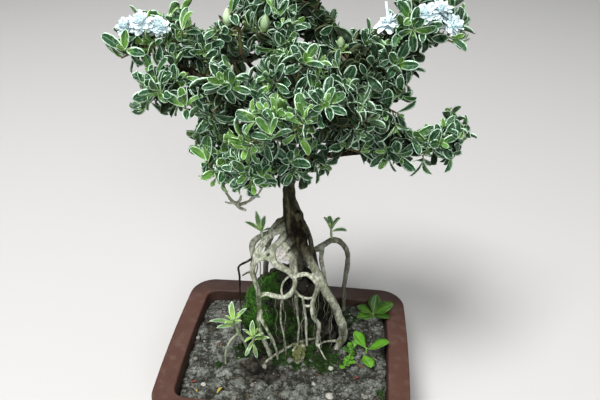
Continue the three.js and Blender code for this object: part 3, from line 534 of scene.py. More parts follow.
def weed_finish(name, dark, bright):
    """A plain green leaf with a paler midrib and rim."""
    look = Finish(name, 0.45, 0.3)
    blade = look.blend(look.ramp(look.ragged("tone", 8, 3, 0.35, 0.65, 0.12), 0.15, 0.75), dark, bright)
    pale = look.blend(0.4, bright, (0.4, 0.58, 0.16))
    edge = look.ramp(look.read("rim"), 0.03, 0.12, 0.7, 0)
    veined = look.blend(look.maths("MAXIMUM", midrib(look, 0.6), edge), blade, pale)
    look.colour(look.blend(look.times(look.read("underside"), 0.5), veined, pale))
    look.relief(look.noise(1.8, 2), 0.12)
    return look.material


def petal_finish():
    """Thin white petals with cool veins."""
    look = Finish("petal", 0.6, 0.2)
    veins = look.patches(1.6, 2, 0.3, 0.7, 0, 0.25)
    look.colour(look.blend(veins, (0.79, 0.92, 0.95), (0.69, 0.84, 0.9)))
    look.shader["Subsurface Weight"].default_value = 0.3
    look.shader["Subsurface Radius"].default_value = (0.002, 0.002, 0.002)
    return look.material


def bud_finish():
    """A closed bud, green at its foot and creamy white towards its tip, or olive where unripe."""
    look = Finish("bud", 0.5, 0.35)
    share = look.ragged("bud_length", 2, 2, 0.3, 0.7, 0.1)
    top = look.blend(look.read("olive"), (0.5, 0.66, 0.4), (0.17, 0.25, 0.12))
    look.colour(look.blend(look.ramp(share, 0.25, 0.72), (0.13, 0.24, 0.07), top))
    return look.material


# ---- Geometry Nodes ----

# A random number up to this one picks a shape: it wraps round the few shapes of a library.
CHOICES = 97


class Tree(Nodes):
    """A Geometry Nodes tree with named inputs."""

    def __init__(self, name, inputs):
        super().__init__(bpy.data.node_groups.new(name, "GeometryNodeTree"))
        sockets = self.tree.interface
        sockets.new_socket("Geometry", in_out="INPUT", socket_type="NodeSocketGeometry")
        for label, kind in inputs.items():
            sockets.new_socket(label, in_out="INPUT", socket_type="NodeSocket" + kind)
        sockets.new_socket("Geometry", in_out="OUTPUT", socket_type="NodeSocketGeometry")
        self.inputs = self.tree.nodes.new("NodeGroupInput").outputs
        self.result = self.tree.nodes.new("NodeGroupOutput").inputs["Geometry"]

    def read(self, name, kind="FLOAT"):
        """A value kept on the points."""
        return self.step("GeometryNodeInputNamedAttribute", {"Name": name}, data_type=kind)

    def draw(self, low, high, seed):
        """A random number for each point."""
        sockets = {2: low, 3: high, "Seed": seed}
        return self.step("FunctionNodeRandomValue", sockets, 1, data_type="FLOAT")

    def copies(self, library, points, turn, size, seed):
        """A copy of one of a library's shapes on each point."""
        shapes = self.step("GeometryNodeCollectionInfo", {
            "Collection": library, "Separate Children": True, "Reset Children": True})
        sockets = {4: 0, 5: CHOICES, "Seed": seed}
        choice = self.step("FunctionNodeRandomValue", sockets, 2, data_type="INT")
        return self.step("GeometryNodeInstanceOnPoints", {
            "Points": points, "Instance": shapes, "Pick Instance": True, "Instance Index": choice,
            "Rotation": turn, "Scale": size})

    def painted(self, geometry, material):
        return self.step("GeometryNodeSetMaterial", {"Geometry": geometry, "Material": material})

    def plain(self, geometry):
        """The geometry with its instances made real."""
        return self.step("GeometryNodeRealizeInstances", {"Geometry": geometry})

    def run(self, piece, values):
        """Runs the tree on a piece and keeps the plain mesh that it gives."""
        modifier = piece.modifiers.new(self.tree.name, "NODES")
        modifier.node_group = self.tree
        for item in self.tree.interface.items_tree:
            if item.item_type == "SOCKET" and item.in_out == "INPUT" and item.name in values:
                modifier[item.identifier] = values[item.name]
        settle(piece)


def plant_tree():
    """Grows stems along a piece's edges and sets a blade on each of its points marked as one."""
    tree = Tree("stems and blades", {
        "Shapes": "Collection", "Length": "Float", "Sides": "Int", "Blade material": "Material",
        "Stem material": "Material", "Seed": "Int"})
    given = tree.inputs
    parts = tree.add("GeometryNodeSeparateGeometry", {
        "Geometry": given["Geometry"], "Selection": tree.read("is_blade", "BOOLEAN")}).outputs
    turn = tree.step("FunctionNodeAxesToRotation", {
        "Primary Axis": tree.read("heading", "FLOAT_VECTOR"),
        "Secondary Axis": tree.read("facing", "FLOAT_VECTOR"),
    }, primary_axis="Y", secondary_axis="Z")
    length = tree.times(given["Length"], tree.read("size"))
    blades = tree.copies(given["Shapes"], parts[0], turn, length, given["Seed"])
    line = tree.step("GeometryNodeMeshToCurve", {"Mesh": parts[1]})
    section = tree.step("GeometryNodeCurvePrimitiveCircle", {
        "Resolution": given["Sides"], "Radius": MM})
    stems = tree.step("GeometryNodeCurveToMesh", {
        "Curve": line, "Profile Curve": section, "Scale": tree.read("thickness"), "Fill Caps": True})
    both = tree.tree.nodes.new("GeometryNodeJoinGeometry")
    tree.join(tree.painted(blades, given["Blade material"]), both.inputs[0])
    tree.join(tree.painted(stems, given["Stem material"]), both.inputs[0])
    smooth = tree.step("GeometryNodeSetShadeSmooth", {"Geometry": tree.plain(both.outputs[0])})
    tree.join(smooth, tree.result)
    return tree


def cover_tree():
    """Scatters small shapes over a piece, as densely as its attribute says, standing off its skin."""
    tree = Tree("cover", {
        "Shapes": "Collection", "Density": "String", "Number": "Float", "Smallest": "Float",
        "Largest": "Float", "Material": "Material", "Seed": "Int"})
    given = tree.inputs
    number = tree.times(tree.read(given["Density"]), given["Number"])
    points = tree.add("GeometryNodeDistributePointsOnFaces", {
        "Mesh": given["Geometry"], "Density": number, "Seed": given["Seed"]}).outputs
    shaded = tree.step("GeometryNodeStoreNamedAttribute", {
        "Geometry": points["Points"], "Name": "shade", "Value": tree.draw(0, 1, 5),
    }, data_type="FLOAT", domain="POINT")
    angles = tree.step("ShaderNodeCombineXYZ", {"Z": tree.draw(0, 2 * pi, 11)})
    spin = tree.step("FunctionNodeEulerToRotation", {0: angles})
    turned = tree.step("FunctionNodeRotateRotation", {
        "Rotation": points["Rotation"], "Rotate By": spin}, rotation_space="LOCAL")
    share = tree.draw(0, 1, 23)
    size = tree.step("ShaderNodeMapRange", {
        "Value": tree.times(share, share), "To Min": given["Smallest"], "To Max": given["Largest"]})
    copies = tree.copies(given["Shapes"], shaded, turned, size, 31)
    tree.join(tree.painted(tree.plain(copies), given["Material"]), tree.result)
    return tree


def shape_library(name, shapes):
    """A collection of shapes to copy, which isn't part of the scene."""
    library = bpy.data.collections.new(name)
    for shape in shapes:
        library.objects.link(shape)
        bpy.context.scene.collection.objects.unlink(shape)
    return library


# ---- Blades: leaves and petals ----

BLADE_COLUMNS = (-1, -0.5, 0, 0.5, 1)
BLADE_THICKNESS = 0.02
# How far the waves of a blade's sides run along it, and how much its two sides are out of step.
WAVE_TURNS = 9
WAVE_SHIFT = 1.2

# Each family of blades: its outline of [place along the blade, width there against the widest],
# and its shapes: width against length, fold, bend of the tip, twist and wave.
BLADES = {
    "leaf": (
        [[0, 0], [0.07, 0.17], [0.2, 0.47], [0.4, 0.83], [0.62, 1], [0.8, 0.94], [0.93, 0.66], [1, 0]], {
            "flat": (0.45, 0.16, 0.1, 0, 0), "folded": (0.36, 0.38, 0.18, 0.15, 0),
            "bent": (0.42, 0.26, 0.26, -0.12, 0), "twisted": (0.38, 0.3, 0.17, 0.5, 0.02),
            "waved": (0.44, 0.2, 0.12, -0.3, 0.03)}),
    "narrow": (
        [[0, 0], [0.08, 0.3], [0.25, 0.68], [0.5, 1], [0.72, 0.88], [0.9, 0.5], [1, 0]], {
            "folded": (0.29, 0.28, 0.12, 0.15, 0), "bent": (0.27, 0.2, 0.24, -0.2, 0),
            "straight": (0.31, 0.3, 0.04, 0.1, 0)}),
    "petal": (
        [[0, 0], [0.06, 0.35], [0.26, 0.62], [0.52, 1], [0.76, 0.95], [0.93, 0.6], [1, 0]], {
            "cupped": (0.62, 0.18, -0.14, 0.1, 0.03), "curled": (0.54, 0.12, 0.24, -0.2, 0.03),
            "ruffled": (0.66, 0.14, 0.06, 0.3, 0.05), "straight": (0.5, 0.22, 0.02, -0.1, 0.02)}),
    "weed": (
        [[0, 0], [0.12, 0.12], [0.3, 0.5], [0.48, 0.9], [0.62, 1], [0.79, 0.8], [0.92, 0.44], [1, 0]], {
            "cupped": (0.66, 0.14, 0.1, 0.1, 0.02), "bent": (0.68, 0.09, 0.24, -0.1, 0.03)}),
    "leaflet": (
        [[0, 0], [0.2, 0.12], [0.38, 0.6], [0.6, 1], [0.8, 0.95], [0.94, 0.55], [1, 0]], {
            "round": (0.8, 0.1, 0.15, 0, 0), "cupped": (0.72, 0.2, 0.05, 0.2, 0)}),
}


def blade_shape(name, outline, aspect, fold, bend, twist, wave):
    """A thin closed blade one metre long along Y with its face up, to be copied at its real size.

    Its halves fold up from the midrib, its tip bends back and its sides wave. Its points keep
    how far they are from the outline (rim), where they lie across it (across) and along it
    (along), and whether they are on its lower face (underside).
    """
    points, faces, notes = [], [], []

    def put(along, width, column, under):
        rise = fold * aspect + wave * sin(WAVE_TURNS * along + copysign(WAVE_SHIFT, column))
        x = column * width * aspect / 2
        z = rise * abs(column) * width - bend * along * along - BLADE_THICKNESS * under
        turn = twist * along
        points.append((x * cos(turn) - z * sin(turn), along, x * sin(turn) + z * cos(turn)))
        notes.append(((1 - abs(column)) * width, column, along, under))
        return len(points) - 1

    tops, bottoms = [], []
    for along, width in outline:
        if width == 0:
            tip = [put(along, 0, 0, 0)]
            tops.append(tip)
            bottoms.append(tip)
            continue
        top = [put(along, width, column, 0) for column in BLADE_COLUMNS]
        tops.append(top)
        bottoms.append([top[0], put(along, width, 0, 1), top[-1]])
    for rows, flip in ((tops, False), (bottoms, True)):
        strips = max(len(row) for row in rows) - 1
        for low, high in zip(rows, rows[1:]):
            for i in range(strips):
                if len(low) == 1:
                    face = [low[0], high[i + 1], high[i]]
                elif len(high) == 1:
                    face = [low[i], low[i + 1], high[0]]
                else:
                    face = [low[i], low[i + 1], high[i + 1], high[i]]
                faces.append(face[::-1] if flip else face)
    shape = made(name, [Vector(point) / MM for point in points], faces)
    rims, columns, alongs, unders = zip(*notes)
    store(shape, rim=rims, across=columns, along=alongs, underside=unders)
    shape.data.shade_smooth()
    return shape


def blade_library(family):
    """The shapes of one family of blades."""
    outline, shapes = BLADES[family]
    return shape_library(family + " shapes", [
        blade_shape(family + "_" + name, outline, *form) for name, form in shapes.items()])


# ---- Plants ----

PLANT_HELPERS = ("is_blade", "heading", "facing", "size", "thickness")


class Plant:
    """The stems and blades of one piece, before they become a mesh."""

    def __init__(self):
        self.stems = []
        self.blades = []

    def stem(self, stops):
        """A stem through stops of (point, radius)."""
        self.stems.append(stops)

    def bowed_stem(self, line, thick, thin, steps=5):
        """A stem along a bowed line that thins from thick to thin."""
        shares = [i / steps for i in range(steps + 1)]
        self.stem([(bowed(line, share)[0], spread_of(thick, thin, share)) for share in shares])

    def blade(self, base, heading, facing, size, tone):
        """A blade of a size against its library's length, and a tone that its finish reads."""
        self.blades.append((base, heading.normalized(), facing.normalized(), size, tone))


def bowed(line, t):
    """The point and direction at t on a line (start, end, rise) whose middle is lifted by rise."""
    start, end, rise = line
    middle = (start + end) / 2 + UP * rise
    point = start * (1 - t) ** 2 + middle * (2 * t * (1 - t)) + end * t ** 2
    return point, ((middle - start) * (1 - t) + (end - middle) * t).normalized()


def plant_piece(name, plant, blades, length, stem_material, seed, sides=6):
    """Makes a plant's mesh. blades is the pair of shapes and material of its blades."""
    bases, headings, facings, sizes, tones = map(list, zip(*plant.blades))
    points = list(bases)
    thicknesses = [0.0] * len(bases)
    edges = []
    for stops in plant.stems:
        edges += [(len(points) + i, len(points) + i + 1) for i in range(len(stops) - 1)]
        points += [point for point, _ in stops]
        thicknesses += [radius for _, radius in stops]
    rest = len(points) - len(bases)
    piece = made(name, points, (), edges)
    store(
        piece, is_blade=[True] * len(bases) + [False] * rest, heading=headings + [UP] * rest,
        facing=facings + [UP] * rest, size=sizes + [0.0] * rest, tone=tones + [0.0] * rest,
        thickness=thicknesses)
    PLANT_TREE.run(piece, {
        "Shapes": blades[0], "Length": length * MM, "Sides": sides, "Blade material": blades[1],
        "Stem material": stem_material, "Seed": seed})
    for helper in PLANT_HELPERS:
        spare = piece.data.attributes.get(helper)
        if spare:
            piece.data.attributes.remove(spare)
    return piece


# ---- Wood ----

# Each limb: how pale its skin is, and its route of [x, y, z, radius].
LIMBS = {
    "trunk": (0.12, [
        [8, 24, 140, 5], [8, 16, 166, 6], [7, 12, 182, 7.6], [7, 12, 200, 8.4], [4, 12, 218, 7.8],
        [2, 12, 234, 6.6], [1, 12, 256, 5.7], [2, 14, 282, 5.6], [0, 16, 314, 5], [2, 20, 345, 4.2],
        [-2, 22, 374, 3.4], [-6, 22, 398, 2.6], [-8, 20, 420, 2], [-6, 18, 436, 1.5]]),
    "strand_left": (0.015, [
        [1, 9, 270, 2.4], [-1, 8, 260, 2.8], [-1, 6, 247, 3], [1, 4, 230, 3.3], [4, 3, 212, 3.3],
        [6, 4, 200, 3]]),
    "strand_right": (0.035, [
        [4, 15, 250, 2.8], [8, 17, 235, 3], [14, 18, 216, 2.8], [20, 18, 203, 2.7], [22, 14, 193, 2.7],
        [26, 5, 185, 2.5], [30, -3, 177, 2.4]]),
    "root_right_front": (0.72, [
        [7, 10, 234, 4.4], [13, 4, 217, 4.6], [17, -2, 203, 4.3], [23, -4, 189, 4], [30, -4, 174, 4],
        [37, -3, 155, 4.2], [44, 1, 138, 4.4], [50, 6, 119, 4.6], [55, 11, 98, 4.8], [57, 15, 82, 4.9],
        [55, 15, 72, 4.6], [51, 14, 64, 3.8], [47, 13, 56, 3]]),
    "root_right_arch": (0.3, [
        [12, 16, 194, 3.4], [20, 24, 180, 3.1], [30, 35, 179, 3.2], [39, 47, 178, 3], [47, 55, 172, 3],
        [54, 61, 160, 2.9], [57, 65, 147, 2.8], [57, 68, 128, 2.8], [55, 70, 107, 2.6],
        [55, 71, 84, 2.5], [56, 71, 55, 2.3]]),
    "root_right_inner": (0.5, [
        [31, 34, 179, 2.2], [32, 20, 175, 2.3], [34, 11, 168, 2.2], [37, 4, 158, 2.1],
        [42, 1, 146, 2]]),
    "root_centre": (0.85, [
        [3, 8, 222, 4.4], [8, 2, 211, 4.2], [8, -4, 201, 4.2], [7, -7, 192, 4.1], [8, -8, 182, 3.5],
        [8, -8, 173, 2.7], [8, -8, 163, 2.5], [5, -8, 154, 2.5], [-2, -8, 147, 2.4],
        [-12, -8, 147, 2.3], [-20, -8, 149, 2.3], [-28, -8, 146, 2.4]]),
    "root_left_long": (0.9, [
        [-1, 8, 222, 3.8], [-7, 4, 218, 3.4], [-16, 0, 213, 3.2], [-23, -4, 205, 3.1],
        [-29, -7, 193, 3.1], [-32, -8, 181, 2.9], [-31, -8, 168, 2.6], [-28, -8, 154, 2.5],
        [-27, -8, 143, 2.8], [-27, -9, 125, 2.7], [-28, -9, 108, 2.7], [-25, -9, 92, 2.5],
        [-20, -9, 74, 2.3], [-16, -9, 55, 2]]),
    "root_left_fork": (0.7, [
        [-27, -8, 134, 2], [-24, -11, 118, 1.9], [-19, -12, 104, 1.7], [-14, -11, 90, 1.6],
        [-11, -10, 74, 1.4], [-10, -8, 56, 1.3]]),
    "root_left_thick": (0.85, [
        [2, 7, 219, 4], [-4, 2, 210, 3.7], [-10, -2, 202, 3.5], [-13, -5, 193, 3.3],
        [-10, -7, 186, 3.4], [-3, -8, 183, 3.5], [3, -8, 178, 3.1], [8, -8, 172, 2.6]]),
    "root_bridge": (0.95, [
        [-31, -8, 183, 2.3], [-28, -10, 190, 2.4], [-22, -10, 194, 2.5], [-16, -8, 192, 2.4],
        [-11, -7, 187, 2.4]]),
    "root_cross": (0.8, [
        [-27, -9, 191, 1.8], [-20, -7, 197, 2.1], [-15, -4, 201, 2.1], [-10, 0, 205, 1.9]]),
    "root_knot": (1.3, [
        [5, 2, 213, 2.7], [1, -4, 209, 3.6], [-3, -7, 204, 4.4], [-5, -8, 199, 4.2], [-1, -8, 196, 3.6],
        [5, -6, 198, 2.8]]),
    "root_behind_left": (0.5, [
        [-8, 10, 216, 2.6], [-18, 9, 210, 2.6], [-27, 7, 206, 2.9], [-33, 4, 200, 3.1],
        [-33, -1, 193, 2.6], [-30, -7, 188, 2.2]]),
    "root_white": (1.0, [
        [7, -8, 173, 2.1], [13, -9, 176, 2.2], [19, -9, 178, 2.3], [25, -8, 173, 2.4],
        [30, -6, 162, 2.4], [27, -7, 148, 2.3], [25, -7, 135, 2.2], [27, -6, 121, 2.2],
        [32, -3, 108, 2.2], [31, 0, 92, 2], [30, 3, 74, 1.8], [29, 4, 55, 1.6]]),
    "root_rung": (0.8, [
        [16, -7, 148, 1.3], [17, -5, 133, 1.4], [19, -4, 113, 1.4], [19, -2, 94, 1.3],
        [20, 0, 76, 1.2], [21, 2, 57, 1.1]]),
    "root_rung_tie": (0.8, [[17, -5, 135, 1.2], [21, -7, 136, 1.2], [26, -7, 138, 1.2]]),
    "root_branchlet": (0.8, [
        [7, -8, 158, 1.5], [13, -7, 149, 1.3], [20, -7, 146, 1.1], [27, -7, 148, 1.1]]),
    "root_thread_centre": (0.6, [
        [9, -8, 149, 1.1], [10, -6, 128, 1], [12, -6, 108, 1], [11, -5, 88, 1], [10, -4, 58, 1]]),
    "root_thread_left": (0.6, [
        [-4, -8, 147, 1.2], [-6, -7, 132, 1], [-6, -7, 112, 1], [-3, -7, 92, 1], [-1, -6, 56, 1]]),
    "root_thread_loop": (0.7, [[4, -7, 174, 1.1], [-3, -6, 164, 1], [-5, -7, 155, 1], [-4, -8, 147, 1]]),
    "root_crown_small": (0.8, [
        [-1, 3, 232, 1.8], [-9, -1, 229, 1.5], [-14, -3, 223, 1.4], [-16, -1, 214, 1.5]]),
    "root_black_side": (0.1, [[-31, -8, 176, 1.1], [-37, -8, 174, 0.9], [-42, -9, 171, 0.7]]),
    "root_black_thread": (0.0, [
        [-29, -7, 193, 1.3], [-36, -8, 188, 1.1], [-45, -8, 181, 1], [-45, -8, 168, 1],
        [-47, -4, 145, 0.9], [-48, 1, 110, 0.9], [-50, 5, 76, 0.9], [-50, 6, 57, 0.9]]),
    "root_bottom": (0.5, [
        [33, 3, 86, 1.5], [25, 5, 81, 1.4], [17, 4, 79, 1.4], [9, 2, 76, 1.4], [1, -1, 73, 1.4],
        [-6, -5, 70, 1.4], [-14, -10, 67, 1.4], [-22, -16, 63, 1.3], [-27, -20, 57, 1.2]]),
    "root_foot_curl": (0.7, [
        [58, 19, 68, 1.7], [47, 12, 73, 1.4], [38, 7, 76, 1.3], [32, 2, 75, 1.2], [36, -4, 70, 1.1],
        [42, -6, 60, 1]]),
    "root_stub": (0.6, [
        [13, 4, 77, 2.8], [13, -1, 75.5, 5.6], [12, -6, 72, 6.6], [12, -9, 67, 6], [12, -10, 58, 4]]),
    "root_back_left": (0.35, [
        [-2, 16, 222, 4], [-10, 28, 210, 3.9], [-19, 42, 190, 3.6], [-27, 55, 162, 3.3],
        [-32, 64, 128, 3], [-34, 68, 92, 2.7], [-35, 68, 55, 2.4]]),
    "root_back_right": (0.35, [
        [6, 16, 218, 3.8], [12, 30, 206, 3.6], [13, 46, 188, 3.3], [10, 58, 160, 3],
        [12, 66, 124, 2.8], [15, 70, 88, 2.5], [15, 71, 55, 2.2]]),
    "root_back_thread": (0.4, [
        [11, 57, 163, 1.2], [0, 60, 146, 1.2], [-8, 64, 122, 1.1], [-9, 68, 88, 1], [-9, 70, 56, 1]]),
    "branch_left": (0.15, [
        [0, 16, 303, 3.9], [-19, 9, 327, 3.5], [-35, 4, 344, 3.2], [-49, 0, 355, 3], [-62, -2, 364, 2.7],
        [-75, -4, 371, 2.4], [-87, -4, 378, 2.1], [-97, -5, 386, 1.7]]),
    "branch_right_upper": (0.15, [
        [1, 16, 312, 3.5], [20, 10, 334, 3.1], [40, 5, 351, 2.8], [57, 2, 367, 2.5], [69, 2, 380, 2.2],
        [76, 3, 392, 1.9], [88, 4, 401, 1.6]]),
    "branch_right_lower": (0.15, [
        [2, 14, 281, 3.3], [22, 9, 291, 2.9], [50, 3, 301, 2.6], [73, 1, 305, 2.3], [92, 0, 306, 2.1],
        [112, -1, 307, 1.7]]),
    "branch_left_lower": (0.1, [
        [1, 13, 273, 2.8], [-9, 2, 286, 2.4], [-21, -9, 296, 2.1], [-33, -17, 298, 1.6]]),
    "branch_front": (0.15, [
        [1, 14, 295, 3], [0, 0, 312, 2.6], [-3, -16, 327, 2.2], [-5, -30, 335, 1.8]]),
    "branch_front_right": (0.15, [
        [1, 15, 305, 3], [15, 0, 326, 2.6], [29, -16, 342, 2.3], [37, -27, 350, 1.9]]),
    "branch_upper_left": (0.15, [
        [1, 20, 347, 2.6], [-14, 16, 358, 2.2], [-28, 12, 371, 1.8], [-36, 10, 382, 1.5]]),
    "branch_upper_right": (0.15, [
        [-1, 21, 358, 2.5], [12, 18, 371, 2], [22, 16, 383, 1.6]]),
    "branch_back_left": (0.15, [
        [0, 17, 308, 3.2], [-18, 34, 324, 2.8], [-36, 52, 338, 2.4], [-50, 64, 346, 1.9]]),
    "branch_back_right": (0.15, [
        [1, 18, 322, 3.1], [20, 36, 336, 2.7], [40, 52, 346, 2.3], [54, 62, 350, 1.8]]),
    "branch_back": (0.15, [
        [1, 17, 292, 3], [5, 38, 304, 2.6], [8, 58, 314, 2.1], [9, 72, 322, 1.7]]),
    "branch_back_high": (0.15, [
        [1, 20, 340, 2.7], [-3, 38, 356, 2.2], [-6, 54, 370, 1.7]]),
    "dead_twig": (0.5, [
        [-23, -11, 296, 1.6], [-17, -19, 284, 1.3], [-19, -21, 274, 1.2], [-25, -21, 267, 1.2],
        [-33, -21, 261, 1.4], [-40, -21, 259, 1.7], [-46, -22, 266, 1.4], [-50, -22, 277, 1.2],
        [-49, -21, 286, 1]]),
    "dead_twig_end": (0.75, [[-42, -21, 261, 1.6], [-38, -21, 256, 1.4], [-33, -20, 253, 1.2]]),
    "dead_twig_spur": (0.75, [[-40, -21, 260, 1.5], [-37, -21, 264, 1.2], [-36, -21, 268, 0.9]]),
    "dead_twig_thorn": (0.7, [[-43, -21, 261, 1.3], [-47, -21, 260, 1.0], [-50, -21, 261, 0.8]]),
    "dead_twig_side": (0.6, [[-28, -21, 265, 1.2], [-24, -21, 268, 1.0], [-20, -21, 268, 0.8]]),
}
WOOD_VOXEL = 0.95
LIMB_STEP = 1.6
FIRST_SIDES = 9
# A limb that is nowhere thicker than this keeps a thin skin of its own.
THIN_LIMB = 1.7
BLUNT_END = 0.6
END_SIZE = 0.45
# Small bends: how long they are, and how far they go against the limb's radius and at most.
WANDER_GRAIN = 13
WANDER = 0.28
WIDEST_WANDER = 0.9
WANDER_SEED = 7
# Knobs and flutes: their height against the radius, their length, and how far apart two limbs
# read the noise.
KNOB_HEIGHT = 0.17
KNOB_LENGTH = 8
KNOB_SHIFT = 7.3
FLUTE_HEIGHT = 0.13
FLUTE_LENGTH = 15
FLUTE_SHIFT = 3.1
FLUTES = 1.5
# Fine rootlets that hang from the roots: how many, how far they drop and the roots they leave.
ROOTLETS = 26
ROOTLET_DROP = (16, 62)
ROOTLET_STEP = 7
ROOTLET_SWAY = 1.5
ROOTLET_RADIUS = (0.4, 0.8)
ROOTLET_SIDES = 5
ROOTLET_HIGHEST = 200
ROOTLET_LOWEST = 88
ROOTLET_PALE = 0.2
PALE_ROOT = 0.45
# Where the wood turns dark above the pale roots, partly its own colour and partly painted shade under
# the canopy, and how much lower it does so on its right.
TRUNK_FOOT = (208, 238)
RIGHT_DARK = 34
# The skin's paleness is that of the nearest points of limbs, the nearest counting most.
PALE_NEIGHBOURS = 4
PALE_EASE = 0.5
TRUNK_AXIS = Vector((4, 12))
STUMP = Vector((12, -6, 71))
KNOT = Vector((-2, -8, 202))
MOSSY_ROOT = Vector((-29, -7, 124))
# Where the strands of the bark begin and end, as levels of their noise; the trunk is painted with
# highlights on the strands and shade in the furrows between them.
STRAND_LEVELS = (-0.22, 0.12)


def paleness(name, pale, point):
    """How pale a limb is at a point: dark near the trunk, partly as painted shade under the canopy, but
    for dead twigs and strands of bark.
    """
    if name.startswith(("dead", "strand")):
        return pale
    low, high = (level - RIGHT_DARK * fade(point.x, -8, 10) for level in TRUNK_FOOT)
    return pale * (1 - fade(point.z, low, high))


def limb_rings(stops, sides, seed):
    """Rings of a knobbly, fluted limb, closed by small rings at both ends."""
    points = [point for point, _ in stops]
    tangent = (points[1] - points[0]).normalized()
    side = square_to(tangent)
    rings = []
    for i, (point, radius) in enumerate(stops):
        ahead = (points[min(i + 1, len(points) - 1)] - points[max(i - 1, 0)]).normalized()
        side = tangent.rotation_difference(ahead) @ side
        tangent = ahead
        across = tangent.cross(side)
        run = i * LIMB_STEP
        knob = 1 + KNOB_HEIGHT * noise.noise(Vector((run / KNOB_LENGTH, seed * KNOB_SHIFT, 0)))
        ring = []
        for turn in turns(sides):
            way = turned(side, across, turn)
            place = Vector((way.x * FLUTES, way.y * FLUTES, run / FLUTE_LENGTH + seed * FLUTE_SHIFT))
            ring.append(point + way * radius * knob * (1 + FLUTE_HEIGHT * noise.noise(place)))
        rings.append(ring)

    def shrunk(ring, end, inner, radius):
        shift = (end - inner).normalized() * radius * BLUNT_END
        return [end + (corner - end) * END_SIZE + shift for corner in ring]

    first = shrunk(rings[0], points[0], points[1], stops[0][1])
    last = shrunk(rings[-1], points[-1], points[-2], stops[-1][1])
    return [first, *rings, last]


def wandering(stops, seed):
    """A limb's curve with the small bends that growth gives it, less on thin limbs."""
    bent = []
    for point, radius in stops:
        sway = noise.noise_vector(point / WANDER_GRAIN + Vector((seed, 0, 0)))
        bent.append((point + sway * min(WANDER * radius, WIDEST_WANDER), radius))
    return bent


def rootlet_routes():
    """Routes of fine rootlets that hang from places on the pale roots and sway on their way down."""
    draws = drawer(FINE_SEED)
    starts = [
        stop for name, (pale, route) in LIMBS.items() if name.startswith("root") and pale > PALE_ROOT
        for stop in smooth_route(route, LIMB_STEP) if ROOTLET_LOWEST < stop[0].z < ROOTLET_HIGHEST]
    routes = []
    for _ in range(ROOTLETS):
        point, _ = starts[int(next(draws) * len(starts))]
        way = level_way(2 * pi * next(draws)) * ROOTLET_SWAY
        thick = spread_of(*ROOTLET_RADIUS, next(draws))
        count = round(spread_of(*ROOTLET_DROP, next(draws)) / ROOTLET_STEP)
        route = [[*point, thick * 1.3]]
        for k in range(1, count + 2):
            sway = Vector((next(draws) - 0.5, next(draws) - 0.5, 0)) * 2 * ROOTLET_SWAY
            place = point + way * min(k, 2) / 2 + sway - UP * ROOTLET_STEP * k
            radius = thick * (1 - 0.5 * k / (count + 1))
            route.append([place.x, place.y, max(place.z, SOIL_LEVEL - 5), radius])
        routes.append(route)
    return routes


def grained(point, across, along):
    """Noise with lumps of about these millimetres across and along the wood."""
    return noise.noise(Vector((point.x / across, point.y / across, point.z / along)))


def strand_noise(point):
    """Slow noise drawn out up and down the wood: its long strands are where this is low."""
    return grained(point, 3.6, 26)


def bark_height(point):
    """Ridges and furrows that run up and down the wood, higher on thick limbs near the trunk."""
    ridge = grained(point, 2.4, 11)
    furrow = -fade(strand_noise(point), 0.15, 0.4)
    lump = noise.noise(point / 5)
    heart = near(point.xy, TRUNK_AXIS, 6, 26)
    knobs = (2.8 * near(point, STUMP, 7, 11) + 3.4 * near(point, KNOT, 7, 11)) * noise.noise(point / 2.5)
    return (0.12 + 0.35 * heart) * ridge + 0.85 * heart * furrow + (0.3 + 0.2 * heart) * lump + knobs


def root_moss(point, normal):
    """How mossy a place on the wood is: the low stump, and patches on roots near the soil."""
    stump = near(point, STUMP, 8, 13)
    low = 0.6 * (1 - fade(point.z, 68, 96))
    left = near(point, MOSSY_ROOT, 16, 40)
    patch = 0.55 + 1.2 * noise.noise(point / 6)
    up = 0.5 + 0.5 * fade(normal.z, -0.2, 0.6)
    return clamped(max(stump * (0.5 + patch), low * patch, left * (0.3 + patch)) * up)


def skin_paleness(finder, pales, point):
    """How pale the skin is at a point, from the limbs round it."""
    neighbours = finder.find_n(point, PALE_NEIGHBOURS)
    weights = [1 / (distance + PALE_EASE) ** 2 for _, _, distance in neighbours]
    total = sum(weight * pales[index] for weight, (_, index, _) in zip(weights, neighbours))
    return total / sum(weights)


def make_wood():
    """Trunk, branches and roots in one grown skin."""
    thick, thin = ([], []), ([], [])
    limbs = [
        (name, pale, wandering(smooth_route(route, LIMB_STEP), seed), FIRST_SIDES)
        for seed, (name, (pale, route)) in enumerate(LIMBS.items())]
    limbs += [
        ("rootlet", ROOTLET_PALE, smooth_route(route, 2 * LIMB_STEP), ROOTLET_SIDES)
        for route in rootlet_routes()]
    finder = kdtree.KDTree(sum(len(stops) for _, _, stops, _ in limbs))
    pales = []
    for seed, (name, pale, stops, sides) in enumerate(limbs):
        for point, _ in stops:
            finder.insert(point, len(pales))
            pales.append(paleness(name, pale, point))
        widest = max(radius for _, radius in stops)
        if sides > ROOTLET_SIDES:
            sides += round(2 * widest)
        add_skin(thick if widest > THIN_LIMB else thin, limb_rings(stops, sides, seed))
    finder.balance()
    wood = made("wood", *thick)
    one_skin(wood, WOOD_VOXEL)
    push(wood, bark_height)
    threads = made("root_threads", *thin)
    threads.data.shade_smooth()
    join(wood, [threads])
    places = [vertex.co / MM for vertex in wood.data.vertices]
    normals = [vertex.normal for vertex in wood.data.vertices]
    # ridge marks the strands between the furrows: the bark finish paints highlights on them and shade
    # off them.
    store(
        wood, ridge=[1 - fade(strand_noise(point), *STRAND_LEVELS) for point in places],
        pale=[skin_paleness(finder, pales, point) for point in places],
        moss=[root_moss(point, normal) for point, normal in zip(places, normals)],
        fresh=[patched(point, FRESH_PATCHES) for point in places])
    paint(wood, bark_finish())
    finish_piece(wood, "bark", "tree_wood")
    return wood


# ---- Foliage ----

